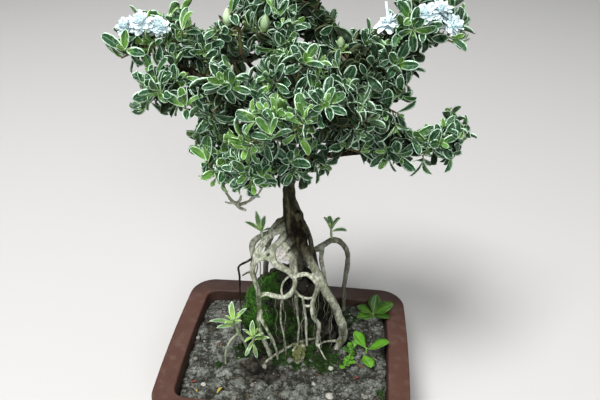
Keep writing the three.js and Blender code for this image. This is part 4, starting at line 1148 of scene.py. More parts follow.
# Each spray, by what follows spray_ in its node's name: the limb it grows from and its place along
# the limb's route, the middle of its leaves, the reach of its shoots from there and their number.
PADS = {
    "left_end": ("branch_left", 7, (-111, -8, 389), (19, 20, 15), 4),
    "left_top": ("branch_left", 6.2, (-88, 0, 398), (17, 18, 16), 3),
    "left_under": ("branch_left", 5, (-90, -24, 358), (21, 18, 14), 3),
    "left_below": ("branch_left", 3, (-74, 6, 337), (24, 18, 16), 3),
    "left_above": ("branch_left", 4, (-60, 10, 384), (18, 18, 16), 3),
    "left_front": ("branch_left", 2.4, (-42, -34, 364), (24, 20, 20), 3),
    "left_back": ("branch_left", 3.5, (-72, 34, 362), (22, 20, 16), 3),
    "left_low": ("branch_left", 1.5, (-50, -14, 335), (20, 17, 16), 3),
    "heart": ("branch_front", 2, (-22, -30, 350), (19, 16, 18), 3),
    "low_left": ("branch_left_lower", 3, (-50, -26, 306), (15, 14, 14), 3),
    "low_front": ("branch_left_lower", 2, (-24, -36, 303), (18, 14, 14), 3),
    "front": ("branch_front", 3, (-4, -52, 342), (23, 18, 17), 3),
    "front_low": ("branch_front", 1, (12, -26, 306), (20, 16, 14), 3),
    "front_right": ("branch_front_right", 3, (43, -46, 357), (22, 18, 16), 3),
    "front_high": ("branch_front_right", 1.5, (10, -30, 374), (20, 18, 18), 3),
    "right_front": ("branch_right_upper", 2.4, (55, -22, 380), (22, 20, 18), 3),
    "right_above": ("branch_right_upper", 3, (44, 16, 388), (20, 18, 17), 3),
    "right_top": ("branch_right_upper", 6, (97, 6, 411), (18, 18, 12), 3),
    "right_end": ("branch_right_upper", 5.4, (116, -2, 407), (17, 17, 13), 3),
    "right_outer": ("branch_right_upper", 4, (86, -12, 373), (17, 17, 15), 3),
    "right_under": ("branch_right_upper", 3.4, (77, -18, 348), (20, 18, 15), 3),
    "right_back": ("branch_right_upper", 4.4, (84, 28, 384), (20, 20, 17), 3),
    "low_middle": ("branch_right_lower", 1.6, (46, -12, 316), (22, 18, 14), 3),
    "low_right": ("branch_right_lower", 3.4, (92, -6, 318), (20, 18, 13), 3),
    "low_tip": ("branch_right_lower", 5, (133, -2, 315), (21, 17, 14), 4),
    "low_back": ("branch_right_lower", 2.4, (68, 30, 318), (20, 18, 15), 3),
    "top_left": ("branch_upper_left", 3, (-36, 8, 404), (20, 20, 17), 3),
    "top_front": ("trunk", 10, (-8, -8, 400), (20, 18, 17), 3),
    "top_right": ("branch_upper_right", 2, (28, 12, 408), (19, 20, 17), 3),
    "crown_low": ("trunk", 12, (6, 24, 432), (20, 20, 15), 3),
    "crown": ("trunk", 13, (-10, 16, 450), (19, 19, 15), 3),
    "back_left": ("branch_back_left", 3, (-58, 72, 356), (22, 20, 18), 3),
    "back_right": ("branch_back_right", 3, (62, 70, 358), (22, 20, 18), 3),
    "back": ("branch_back", 3, (10, 84, 330), (24, 18, 18), 3),
    "back_high": ("branch_back_high", 2, (-10, 66, 386), (24, 20, 18), 3),
}
# How much younger some sprays look, or, where below 0, how much older and darker, nearer the painted
# shade of inner leaves.
SPRAY_TONES = {
    "left_top": 0.5, "front": 0.35, "heart": -0.35, "right_front": -0.3, "front_right": -0.15,
    "top_right": -0.05, "low_front": 0.15, "low_left": 0.15, "left_under": 0.15, "right_outer": -0.1,
    "low_middle": -0.3}
# Young shoots that stand out in front of a spray: their foot, heading and how young they look.
YOUNG_SHOOTS = {
    "front": [
        ((-1, -66, 345), (-0.1, -0.45, 0.9), 0.45), ((21, -60, 354), (0.1, -0.3, 1), 0.7)],
    "low_front": [((-12, -50, 301), (0.1, -0.5, 0.8), 0.25)],
    "low_left": [
        ((-30, -46, 306), (0, -0.4, 0.9), 0.3), ((-56, -40, 307), (-0.2, -0.4, 0.9), 0.4)],
    "front_low": [((9, -42, 314), (0, -0.8, 0.5), 0.0)],
    "left_under": [
        ((-85, -42, 367), (-0.5, -0.5, 0.6), 0.2), ((-70, -40, 354), (0, -0.5, 0.8), 0.45)],
    "low_tip": [((114, -10, 310), (0, -0.5, -0.8), 0.0)],
    "left_top": [((-76, -10, 402), (0.1, -0.4, 0.9), 0.5)],
}
YOUNG_LENGTH = 5
YOUNG_PAIRS = [(0.1, 78, 0.85, -0.1), (0.55, 52, 1.1, 0.1), (1.0, 24, 0.95, 0.3)]
CANOPY_HEART = Vector((0, 15, 325))
CANOPY_SEED = 20251
SEED_STEP = 977
LEAF_LENGTH = 18

# How a spray spreads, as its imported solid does.
POLE_LIFT = 0.9
TOP_LEVEL = 0.92
LEVEL_SPAN = 1.3
LEVEL_SCATTER = 0.5
TURN_SCATTER = 0.5
REACH_SCATTER = 0.15
FIRST_BASE = 0.52
BASE_SPAN = 0.44
SHOOT_BOW = 0.1
BEND_PLACE = 0.68
LEAF_TURN_SCATTER = 0.3
LEAF_LEAN_SCATTER = 16
LEAF_SIZE_SCATTER = 0.3
LEAF_UPTURN = 0.32
LEAF_MIDDLE = 0.6

# Stems, from thick to thin: shoots, side shoots, each spray's own and those that carry flowers.
SHOOT_THICK = (1.0, 0.6)
SIDE_THICK = (0.7, 0.45)
STEM_THICK = (1.7, 1.2)
BLOOM_STEM_THICK = (1.1, 0.9)
# Where on its spray's stem a stem that carries flowers starts.
BLOOM_STEM_PLACE = 0.8

# Pairs of leaves on a shoot: place along it, opening from its direction in degrees, size and
# how young they look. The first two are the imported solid's own.
OWN_PAIRS = [(0.86, 76, 0.98, 0.15), (0.86, 50, 1.02, 0.35)]
TIP_PAIRS = [(0.92, 34, 0.82, 0.6), (0.97, 22, 0.6, 0.85), (1.0, 12, 0.38, 1.1)]
LOW_PAIRS = [(0.66, 84, 0.95, -0.05), (0.44, 90, 0.85, -0.25)]
SIDE_PAIRS = [(0.5, 80, 0.86, -0.1), (0.72, 64, 0.98, 0.1), (0.9, 42, 0.88, 0.45), (1.0, 18, 0.52, 1.0)]
# Side shoots on each shoot and on each spray's stem: how many, and the first place and length of
# the stretch that they leave from.
SIDE_SHOOTS = (3, 0.4, 0.32)
STEM_SHOOTS = (5, 0.35, 0.6)
SIDE_LENGTH = (9, 15)
SIDE_AHEAD = 0.7
SIDE_UPTURN = 0.35
SPIN_SCATTER = 6
# How much older and darker leaves look inside the canopy and behind it, where shade is painted on them,
# and how much their look varies.
INNER_SHADE = 0.6
BACK_SHADE = 0.2
SPRAY_TONE_SCATTER = 0.35
SHOOT_TONE_SCATTER = 0.3
# Where no leaf grows: round flowers, buds and the bare branch, and from them towards the sun.
FREE_FLOWER = 8.5
FREE_BUD = 7
FREE_BRANCH = 4.5
BARE_BRANCH = (2.6, 3.1, 3.6, 4.1, 4.6, 5.1)
SUNNY_WAY = Vector((0, -0.75, 0.66))
SUNNY_REACH = 16
BLOOM_REACH = {"bloom_left": 16, "bloom_right_inner": 14, "bloom_right_top": 1}
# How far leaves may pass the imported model's box, as a share of its size.
REACH_OVER = 0.015

# Open places of the canopy, where no leaf grows, each from front to back: x and z in front, x and
# z behind, and radius.
OPEN_DEPTH = 40
OPEN_PLACES = [
    (-49, 426, -71, 405, 11), (-41, 438, -61, 419, 10), (-23, 414, -40, 390, 6),
    (-25, 391, -42, 363, 6), (-78, 435, -105, 415, 9), (39, 437, 35, 417, 9), (49, 425, 47, 403, 9),
    (59, 417, 59, 394, 8), (118, 405, 129, 380, 9), (102, 355, 110, 320, 8),
    (114, 359, 125, 325, 8), (101, 380, 109, 349, 8), (87, 362, 92, 328, 7),
    (-116, 388, -150, 359, 8), (-111, 366, -144, 333, 8), (-99, 347, -130, 310, 7),
    (-69, 344, -94, 306, 8), (-67, 309, -91, 262, 7), (147, 335, 164, 296, 8),
    (142, 322, 159, 281, 7), (56, 318, 55, 275, 8)]


def off_segment(point, start, end):
    """How far a point lies from the line between two points."""
    way = end - start
    share = clamped((point - start).dot(way) / way.length_squared)
    return (point - start - way * share).length


def free_spaces():
    """Where no leaf grows, as (start, end, radius)."""
    spaces = [
        (Vector((x, -OPEN_DEPTH, z)), Vector((back_x, OPEN_DEPTH, back_z)), radius)
        for x, z, back_x, back_z, radius in OPEN_PLACES]

    def keep_sunny(place, reach, radius):
        spaces.append((place, place + SUNNY_WAY * reach, radius))

    for name, (_, flowers) in BLOOMS.items():
        for throat, faces, length, _ in flowers:
            heart = Vector(throat) + Vector(faces).normalized() * length * 0.3
            keep_sunny(heart, BLOOM_REACH[name], FREE_FLOWER)
    for foot, tip, *_ in BUDS.values():
        low, high = Vector(foot), Vector(tip)
        spaces.append((low.lerp(high, 0.1), high, FREE_BUD))
        keep_sunny(low.lerp(high, 0.5), SUNNY_REACH, FREE_BUD)
        keep_sunny(high, SUNNY_REACH, FREE_BUD)
    for at in BARE_BRANCH:
        keep_sunny(on_limb("branch_left", at), 2 * SUNNY_REACH, FREE_BRANCH)
    return spaces


def may_reach(point):
    """Whether a leaf may grow to a point: clear of open places and within the tree's reach."""
    over = (cad_high - cad_low) * REACH_OVER
    low, high = (cad_low - over) / MM, (cad_high + over) / MM
    if any(not low[i] < point[i] < high[i] for i in range(3)):
        return False
    return all(off_segment(point, start, end) > radius for start, end, radius in FREE_SPACES)


def on_limb(name, at):
    """The point on a limb's axis at a place along its route: 2.5 is half way from 2 to 3."""
    route = LIMBS[name][1]
    step = min(int(at), len(route) - 2)
    return Vector(route[step][:3]).lerp(Vector(route[step + 1][:3]), at - step)


def frame_on(line, roll, place):
    """The point, direction and side at a place on a shoot, carried along it without twist."""
    first = (bowed(line, BEND_PLACE)[0] - line[0]).normalized()
    point, tangent = bowed(line, place)
    side = Quaternion(first, roll) @ square_to(first)
    return point, tangent, first.rotation_difference(tangent) @ side


def add_leaf(plant, line, roll, place, quarter, opening, size, tone, draws):
    """A leaf on a shoot, turned, leaned and sized by three draws."""
    point, tangent, side = frame_on(line, roll, place)
    azimuth = quarter * pi / 2 + LEAF_TURN_SCATTER * (next(draws) - 0.5)
    lean = radians(opening + LEAF_LEAN_SCATTER * (next(draws) - 0.5))
    share = size * (1 + LEAF_SIZE_SCATTER * (next(draws) - 0.5))
    spoke = Quaternion(tangent, azimuth) @ side
    heading = (turned(tangent, spoke, lean) + UP * LEAF_UPTURN).normalized()
    reach = heading * LEAF_LENGTH * share
    if may_reach(point + reach * LEAF_MIDDLE) and may_reach(point + reach):
        plant.blade(point, heading, square_part(tangent, heading), share, tone)


def add_pairs(plant, line, roll, pairs, first, draws, tone):
    """Crossed pairs of leaves along a shoot."""
    for order, (place, opening, size, young) in enumerate(pairs, first):
        for half in (0, 1):
            add_leaf(plant, line, roll, place, order % 2 + 2 * half, opening, size, young + tone, draws)


def add_side_shoot(plant, line, roll, place, spin, draws, tone):
    """A short shoot that leaves a longer one, with its own tuft."""
    point, tangent, side = frame_on(line, roll, place)
    spoke = Quaternion(tangent, spin) @ side
    heading = (tangent * SIDE_AHEAD + spoke + UP * SIDE_UPTURN).normalized()
    length = spread_of(*SIDE_LENGTH, next(draws))
    twig = (point, point + heading * length, SHOOT_BOW * length)
    if not may_reach(twig[1]):
        return
    plant.bowed_stem(twig, *SIDE_THICK, 3)
    add_pairs(plant, twig, 2 * pi * next(draws), SIDE_PAIRS, 0, draws, tone)


def add_side_shoots(plant, line, roll, shoots, draws, tone):
    """Side shoots spread along a longer one; shoots says how many and where."""
    number, first, stretch = shoots
    for k in range(number):
        place = first + stretch * (k + next(draws)) / number
        spin = k * GOLDEN_ANGLE + SPIN_SCATTER * next(draws)
        add_side_shoot(plant, line, roll, place, spin, draws, tone)


def add_young_shoot(plant, start, base, heading, tone, draws):
    """A young shoot that stands out in front of its spray, on a twig from the spray's middle."""
    foot = Vector(base)
    plant.bowed_stem((start, foot, 0), *SIDE_THICK, 3)
    shoot = (foot, foot + Vector(heading).normalized() * YOUNG_LENGTH, 0)
    plant.bowed_stem(shoot, *SIDE_THICK, 2)
    add_pairs(plant, shoot, 2 * pi * next(draws), YOUNG_PAIRS, 0, draws, tone)


def grow_spray(index, name, pad):
    """One spray: its stem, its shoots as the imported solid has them, and finer growth on them."""
    limb, at, middle, reach, count = pad
    draws = drawer(CANOPY_SEED + SEED_STEP * index)
    fine = drawer(FINE_SEED + SEED_STEP * index)
    plant = Plant()
    centre = Vector(middle)
    start = on_limb(limb, at)
    stem = (start, centre, 0)
    plant.bowed_stem(stem, *STEM_THICK)
    pole = ((centre - CANOPY_HEART).normalized() + UP * POLE_LIFT).normalized()
    side = square_to(pole)
    across = pole.cross(side)
    spin = 2 * pi * next(draws)
    # Sprays at the back are painted darker, as shade.
    spray_tone = SPRAY_TONE_SCATTER * (next(fine) - 0.5) - BACK_SHADE * fade(centre.y, 0, 40)
    spray_tone += SPRAY_TONES.get(name, 0)
    for i in range(count):
        level = TOP_LEVEL - LEVEL_SPAN * (i + LEVEL_SCATTER * next(draws)) / count
        flat = sqrt(1 - level * level)
        turn = spin + i * GOLDEN_ANGLE + TURN_SCATTER * next(draws)
        heading = pole * level + side * flat * cos(turn) + across * flat * sin(turn)
        share = 1 - REACH_SCATTER * (1 - next(draws))
        tip = centre + heading * Vector(reach) * share
        base = start.lerp(centre, FIRST_BASE + BASE_SPAN * next(draws))
        line = (base, tip, SHOOT_BOW * (tip - base).length)
        roll = 2 * pi * next(draws)
        tone = spray_tone + SHOOT_TONE_SCATTER * (next(fine) - 0.5)
        plant.bowed_stem(line, *SHOOT_THICK)
        add_pairs(plant, line, roll, OWN_PAIRS, 0, draws, tone)
        add_pairs(plant, line, roll, TIP_PAIRS, 0, fine, tone)
        add_pairs(plant, line, roll, LOW_PAIRS, 1, fine, tone)
        add_side_shoots(plant, line, roll, SIDE_SHOOTS, fine, tone)
    # The leaves on a spray's own stem lie inside the canopy and are painted darker, as shade.
    add_side_shoots(plant, stem, 0, STEM_SHOOTS, fine, spray_tone - INNER_SHADE)
    for base, heading, tone in YOUNG_SHOOTS.get(name, ()):
        add_young_shoot(plant, centre, base, heading, tone, fine)
    if name in CARRIED:
        place = start.lerp(centre, BLOOM_STEM_PLACE)
        foot = {**BLOOMS, **BUDS}[CARRIED[name]][0]
        plant.bowed_stem((place, Vector(foot), 0), *BLOOM_STEM_THICK, 3)
    return plant


def make_sprays():
    """The canopy, one piece for each spray."""
    leaf = old_leaf_finish()
    twig = twig_finish()
    for index, (name, pad) in enumerate(PADS.items()):
        plant = grow_spray(index, name, pad)
        piece = plant_piece(
            "leafy_spray_" + name, plant, (LEAF_SHAPES, leaf), LEAF_LENGTH, twig, index)
        finish_piece(piece, "leaf", "spray_" + name)


# ---- Flowers and buds ----

# Each bloom: its foot, and its flowers' throat, facing, petal length and upright petal.
BLOOMS = {
    "bloom_left": ((-106, -7, 398), [
        ((-117, -11, 405), (-0.6, -0.5, 1), 10, None),
        ((-106, -13, 409), (0, -0.7, 1), 10.5, None),
        ((-95, -9, 405), (0.7, -0.5, 1), 9.5, None)]),
    "bloom_right_inner": ((80, 5, 404), [
        ((79, 3, 411), (-0.2, -0.1, 1), 9.5, (75.5, 3, 427))]),
    "bloom_right_top": ((112, -5, 412), [
        ((105, -8, 420), (-0.6, -0.5, 1), 9, None),
        ((114, -6, 422), (0.1, -0.4, 1), 9.5, None),
        ((122, -10, 414), (0.9, -0.6, 0.8), 9, None)]),
}
# Each bud: its foot, its tip, its radius and how olive it still is.
BUDS = {
    "bud_left": ((-45, 10, 396), (-45, 9, 418), 3.4, 0.0),
    "bud_middle": ((-14, -10, 400), (-12, -10, 419), 3.2, 0.75),
    "bud_right": ((44, -12, 392), (44, -13, 405), 2.6, 0.8),
}
# What some sprays carry on a stem.
CARRIED = {
    "left_end": "bloom_left", "right_top": "bloom_right_inner", "right_end": "bloom_right_top",
    "left_above": "bud_left", "top_front": "bud_middle", "right_front": "bud_right"}

# Whorls of petals: height above the throat, opening in degrees, size and number.
WHORLS = [
    (0.6, 88, 1.0, 8), (1.1, 72, 0.98, 8), (1.7, 54, 0.92, 8), (2.3, 37, 0.84, 7), (2.8, 20, 0.74, 6),
    (3.0, 6, 0.6, 3)]
# The whorls of a flower that has one petal still upright: its others droop round its throat.
OPEN_WHORLS = [(0.6, 108, 1.25, 8), (1.2, 90, 1.1, 8), (1.8, 66, 0.8, 6), (2.4, 40, 0.6, 4)]
PETAL_LENGTH = 10
PETAL_FOOT = 0.8
PETAL_TURN_SCATTER = 0.3
PETAL_LEAN_SCATTER = 18
PETAL_SIZE = (0.78, 1.05)
FLOWER_STEM_SIDES = 8
# The tube under a flower: height above its throat and radius.
TUBE = [(0, 2.0), (1.6, 1.9), (3, 1.3)]
UPRIGHT_PETAL = (1.6, 1.5, 1.1)

# Sepals round a bud: opening from its axis in degrees, length and number.
SEPALS = [(28, 9, 4), (62, 11, 4)]
SEPAL_LENGTH = 10
# A bud's outline: place along it and width there against its radius.
BUD_PROFILE = [
    (0, 0.28), (0.12, 0.3), (0.3, 0.42), (0.42, 0.72), (0.54, 0.94), (0.66, 1), (0.78, 0.86),
    (0.88, 0.6), (0.95, 0.36), (1, 0.1)]
BUD_SIDES = 20
BUD_FULLNESS = 1.14
BUD_PETALS = 5
BUD_FOLD = 0.10


def add_petals(plant, heart, axis, length, whorls, draws):
    """Whorls of petals round a flower's throat, each turned, leaned and sized by three draws."""
    side = square_to(axis)
    for order, (rise, opening, size, count) in enumerate(whorls):
        for k in range(count):
            shift = 0.5 * (order % 2) + PETAL_TURN_SCATTER * (next(draws) - 0.5)
            spoke = Quaternion(axis, 2 * pi * (k + shift) / count) @ side
            lean = radians(opening + PETAL_LEAN_SCATTER * (next(draws) - 0.5))
            heading = turned(axis, spoke, lean)
            share = length * size * spread_of(*PETAL_SIZE, next(draws)) / PETAL_LENGTH
            base = heart + axis * rise + spoke * PETAL_FOOT
            plant.blade(base, heading, square_part(axis, heading), share, 0.5)


def make_blooms():
    """Double flowers on their stems, one piece for each group of them."""
    blades = (blade_library("petal"), petal_finish())
    for seed, (name, (foot, flowers)) in enumerate(BLOOMS.items()):
        plant = Plant()
        draws = drawer(FINE_SEED + seed)
        for throat, faces, length, upright in flowers:
            heart = Vector(throat)
            axis = Vector(faces).normalized()
            plant.stem([(Vector(foot), 1), *[(heart + axis * rise, radius) for rise, radius in TUBE]])
            if upright:
                tip = Vector(upright)
                plant.stem(list(zip((heart + axis, heart.lerp(tip, 0.5), tip), UPRIGHT_PETAL)))
            add_petals(plant, heart, axis, length, OPEN_WHORLS if upright else WHORLS, draws)
        piece = plant_piece(
            name + "_petals", plant, blades, PETAL_LENGTH, blades[1], seed, FLOWER_STEM_SIDES)
        finish_piece(piece, "petal", name)


def bud_rings(low, high, radius):
    """Rings of a closed bud whose petals wrap round each other."""
    axis = (high - low).normalized()
    side = square_to(axis)
    across = axis.cross(side)
    rings = []
    for place, spread in BUD_PROFILE:
        ring = []
        for turn in turns(BUD_SIDES):
            wrap = cos(BUD_PETALS * turn + BUD_PETALS * place)
            fold = 1 + BUD_FOLD * fade(place, 0.3, 0.6) * wrap
            way = turned(side, across, turn)
            ring.append(low.lerp(high, place) + way * radius * BUD_FULLNESS * spread * fold)
        rings.append(ring)
    return rings


def add_sepals(plant, low, axis, seed):
    """Narrow leaves round the foot of a bud."""
    side = square_to(axis)
    for order, (opening, length, count) in enumerate(SEPALS):
        for k in range(count):
            spoke = Quaternion(axis, 2 * pi * (k + 0.5 * order) / count) @ side
            heading = turned(axis, spoke, radians(opening + 7 * sin(3 * k + seed)))
            share = length / SEPAL_LENGTH * (1 + 0.15 * sin(5 * k + order))
            plant.blade(low + axis * (1 - order), heading, square_part(axis, heading), share, 0.75)


def make_buds(leaf):
    """Closed buds in their sepals."""
    look = bud_finish()
    for seed, (name, (foot, tip, radius, olive)) in enumerate(BUDS.items()):
        low, high = Vector(foot), Vector(tip)
        axis = (high - low).normalized()
        bud = made(name + "_petals", *loft(bud_rings(low, high, radius)))
        bud.data.shade_smooth()
        lengths = [place for place, _ in BUD_PROFILE for _ in range(BUD_SIDES)]
        store(bud, bud_length=lengths, olive=[olive] * len(lengths))
        paint(bud, look)
        plant = Plant()
        plant.stem([(low - axis * 3, 0.9), (low + axis * 2, 1.1)])
        add_sepals(plant, low, axis, seed)
        piece = plant_piece(name + "_closed", plant, (NARROW_SHAPES, leaf), SEPAL_LENGTH, leaf, seed)
        join(piece, [bud])
        finish_piece(piece, "bud", name)


# ---- Suckers and weeds ----

# Each low plant: its stems as routes of [x, y, z, radius], and its leaves as [base, tip].
LOW_PLANTS = {
    "sucker_left": (
        [[[-41, -3, 52, 1.6], [-44, -6, 76, 1.7], [-49, -9, 94, 1.8], [-54, -10, 113, 1.3]],
         [[-49, -9, 96, 1.2], [-58, -12, 87, 1.1], [-63, -17, 74, 1], [-63, -22, 53, 1]]],
        [[[-53, -10, 108], [-75, -15, 121]], [[-53, -10, 106], [-69, -19, 112]],
         [[-54, -10, 112], [-56, -7, 134]], [[-54, -10, 111], [-44, -5, 127]],
         [[-53, -10, 109], [-60, 5, 122]], [[-53, -10, 110], [-48, -22, 121]]]),
    "sucker_front": (
        [[[-35, -2, 52, 1.5], [-35, -8, 74, 1.6], [-34, -15, 90, 1.5], [-33, -17, 101, 1.2]]],
        [[[-33, -17, 98], [-34, -16, 119]], [[-33, -17, 97], [-43, -19, 111]],
         [[-33, -17, 97], [-23, -20, 110]], [[-33, -17, 95], [-16, -19, 102]],
         [[-33, -16, 94], [-38, -28, 92]], [[-34, -14, 88], [-42, -24, 78]],
         [[-34, -14, 87], [-29, -24, 76]]]),
    "sucker_root_left": (
        [[[-22, -3, 207, 1.3], [-23, 0, 213, 1.3], [-24, 0, 220, 1]]],
        [[[-23.5, 0, 217], [-38, -2, 229]], [[-24, 0, 218], [-28, 1, 237]],
         [[-23.5, 0, 217], [-14, -8, 230]], [[-23.5, 0, 216], [-22, 13, 227]]]),
    "sucker_root_right": (
        [[[40, 48, 179, 1.3], [39, 50, 186, 1.3], [39, 50, 191, 1]]],
        [[[39, 50, 188], [45, 51, 205]], [[39, 50, 188], [33, 50, 205]], [[39, 50, 187], [54, 47, 194]],
         [[39, 50, 187], [36, 62, 199]]]),
    "weed_back": (
        [[[89, 61, 52, 1.5], [89, 61, 71, 1.2]]],
        [[[89, 61, 69], [72, 67, 79]], [[89, 61, 69], [91, 74, 88]], [[89, 61, 69], [107, 65, 87]],
         [[89, 61, 68], [105, 48, 80]], [[89, 61, 68], [72, 50, 76]]]),
    "weed_front": (
        [[[82, 8, 52, 1.5], [82, 8, 70, 1.2]]],
        [[[82, 8, 68], [69, 19, 83]], [[82, 8, 68], [103, 5, 86]], [[79, 2, 67], [87, -18, 72]]]),
    "weed_creeping": (
        [[[64, 1, 52, 1.2], [64, -1, 63, 1.1], [66, 3, 68, 1], [69, 8, 71, 0.8]],
         [[63, -2, 63, 1], [64, -10, 67, 0.9], [60, -17, 68, 0.8]]],
        [[[69, 7, 70], [70, 14, 75]], [[68, 6, 69], [62, 10, 74]], [[66, 3, 68], [57, 4, 72]],
         [[60, -16, 68], [56, -23, 71]], [[63, -12, 67], [71, -14, 71]]]),
}
# Young leaves between the others: how many, and how wide against their own width.
YOUNG_LEAVES = {
    "sucker_left": (8, 6), "sucker_front": (8, 6), "sucker_root_left": (3, 4.6),
    "sucker_root_right": (3, 5.6)}
YOUNG_WIDTH = 6
LOW_STEM_STEP = 3
LOW_LEAF_LENGTH = 20
STEEP = 0.25
LEAFLET_LENGTH = 5.5
LEAFLET_SIZE = (0.7, 1.2)
LEAFLET_STEP = 2.2


def low_plant(stems, leaves, draws):
    """A low plant with its leaves."""
    plant = Plant()
    for route in stems:
        plant.stem(smooth_route(route, LOW_STEM_STEP))
    for base, tip in leaves:
        low = Vector(base)
        heading = Vector(tip) - low
        facing = square_part(UP, heading.normalized())
        if facing.length < STEEP:
            facing = square_to(heading.normalized())
        plant.blade(low, heading, facing, heading.length / LOW_LEAF_LENGTH, 0.2 + 0.5 * next(draws))
    return plant


def add_young_leaves(plant, top, number, width):
    """Small young leaves that open round the top of a stem, the outer ones larger."""
    for k in range(number):
        turn = k * GOLDEN_ANGLE
        lean = radians(14 + 6 * k)
        out = sin(lean)
        heading = Vector((out * cos(turn), out * sin(turn), cos(lean)))
        share = (0.36 + 0.06 * k) * width / YOUNG_WIDTH
        plant.blade(top - UP * 2, heading, square_part(UP, heading), share, 1.1)


def add_leaflets(plant, stems, draws):
    """Tiny round leaves all along creeping stems."""
    places = [point for route in stems for point, _ in smooth_route(route, LEAFLET_STEP)]
    for point in places:
        if point.z > SOIL_LEVEL + 2:
            for _ in range(2):
                turn = 2 * pi * next(draws)
                heading = level_way(turn) + UP * (0.25 + 0.5 * next(draws))
                share = spread_of(*LEAFLET_SIZE, next(draws)) * LEAFLET_LENGTH / LOW_LEAF_LENGTH
                plant.blade(point, heading, UP + heading * 0.2, share, 0.5)


def make_low_plants(sucker_leaf):
    """Root suckers and weeds."""
    shapes = blade_library("weed")
    leaflets = blade_library("leaflet")
    dark = weed_finish("weed_leaf_dark", (0.018, 0.062, 0.005), (0.056, 0.16, 0.011))
    fresh = weed_finish("weed_leaf_fresh", (0.02, 0.078, 0.008), (0.092, 0.27, 0.014))
    weeds = {
        "weed_back": (shapes, dark), "weed_front": (shapes, fresh), "weed_creeping": (leaflets, fresh)}
    sucker_stem = sucker_stem_finish()
    for seed, (name, (stems, leaves)) in enumerate(LOW_PLANTS.items()):
        draws = drawer(FINE_SEED + 31 * seed)
        plant = low_plant(stems, leaves, draws)
        if name in YOUNG_LEAVES:
            add_young_leaves(plant, Vector(stems[0][-1][:3]), *YOUNG_LEAVES[name])
        if name == "weed_creeping":
            add_leaflets(plant, stems, draws)
        if name in weeds:
            blades = weeds[name]
            stem, slot = blades[1], "weed_leaf"
        else:
            blades = (LEAF_SHAPES if name == "sucker_root_right" else NARROW_SHAPES, sucker_leaf)
            stem, slot = sucker_stem, "sucker_leaf"
        piece = plant_piece(name + "_leaves", plant, blades, LOW_LEAF_LENGTH, stem, seed)
        finish_piece(piece, slot, name)


# ---- Pot ----

pot_low, pot_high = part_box("pot")
POT_LENGTH = (pot_high.x - pot_low.x) / MM
POT_WIDTH = (pot_high.y - pot_low.y) / MM
POT_HEIGHT = (pot_high.z - pot_low.z) / MM
POT_CORNER = 27
CORNER_EASE = 0.75
TIGHTEST_CORNER = 9
POT_BOW = 1.6
RIM_WIDTH = 21
LIP_HEIGHT = 10
LIP_STEP = 5
POT_TAPER = 13
FLOOR = 8
INNER_TAPER = 6
DRAIN_RADIUS = 8
DRAIN_X = 55
# Painted shadow of the canopy: the pot is pale, with its dust, up to this far back, and painted darker,
# with less dust, behind it.
POT_SHADOW_AT = 84
POT_SHADOW_FADE = 20
CORNER_STEPS = 12
SIDE_STEPS = 10
FILLET_STEPS = 4
SMOOTH_ANGLE = 38


def pot_ring(inset, z):
    """A rounded rectangle inset from the pot's outline, with gently bowed sides."""
    half_x = POT_LENGTH / 2 - inset
    half_y = POT_WIDTH / 2 - inset
    corner = max(POT_CORNER - inset * CORNER_EASE, TIGHTEST_CORNER)
    centre_x = half_x - corner - POT_BOW
    centre_y = half_y - corner - POT_BOW
    ring = []
    for quarter in range(4):
        corner_x = centre_x if quarter in (0, 3) else -centre_x
        corner_y = centre_y if quarter < 2 else -centre_y
        for step in range(CORNER_STEPS + 1):
            turn = pi / 2 * (quarter + step / CORNER_STEPS)
            ring.append(Vector((corner_x + corner * cos(turn), corner_y + corner * sin(turn), z)))
        turn = pi / 2 * (quarter + 1)
        out = Vector((round(cos(turn)), round(sin(turn)), 0))
        along = Vector((-out.y, out.x, 0))
        half = abs(along.x) * centre_x + abs(along.y) * centre_y
        depth = abs(out.x) * half_x + abs(out.y) * half_y
        for step in range(1, SIDE_STEPS):
            share = 2 * step / SIDE_STEPS - 1
            ring.append(out * (depth - POT_BOW * share * share) + along * half * share + UP * z)
    return ring


def rounded_profile(corners):
    """A profile through (inset, z, radius) corners, each rounded by its radius."""
    places = [Vector((inset, z)) for inset, z, _ in corners]
    profile = [places[0]]
    for before, here, after, (_, _, radius) in zip(places, places[1:], places[2:], corners[1:]):
        start = here + (before - here).normalized() * radius
        end = here + (after - here).normalized() * radius
        for step in range(FILLET_STEPS + 1):
            t = step / FILLET_STEPS
            profile.append(start * (1 - t) ** 2 + here * (2 * t * (1 - t)) + end * t ** 2)
    profile.append(places[-1])
    return profile


def drill_drain(piece, x):
    """Cuts a drain hole through the pot's floor."""
    bpy.ops.mesh.primitive_cylinder_add(
        vertices=40, radius=DRAIN_RADIUS * MM, depth=4 * FLOOR * MM, location=(x * MM, 0, 0))
    drill = bpy.context.object
    modify(piece, "BOOLEAN", object=drill, solver="EXACT")
    bpy.data.objects.remove(drill)


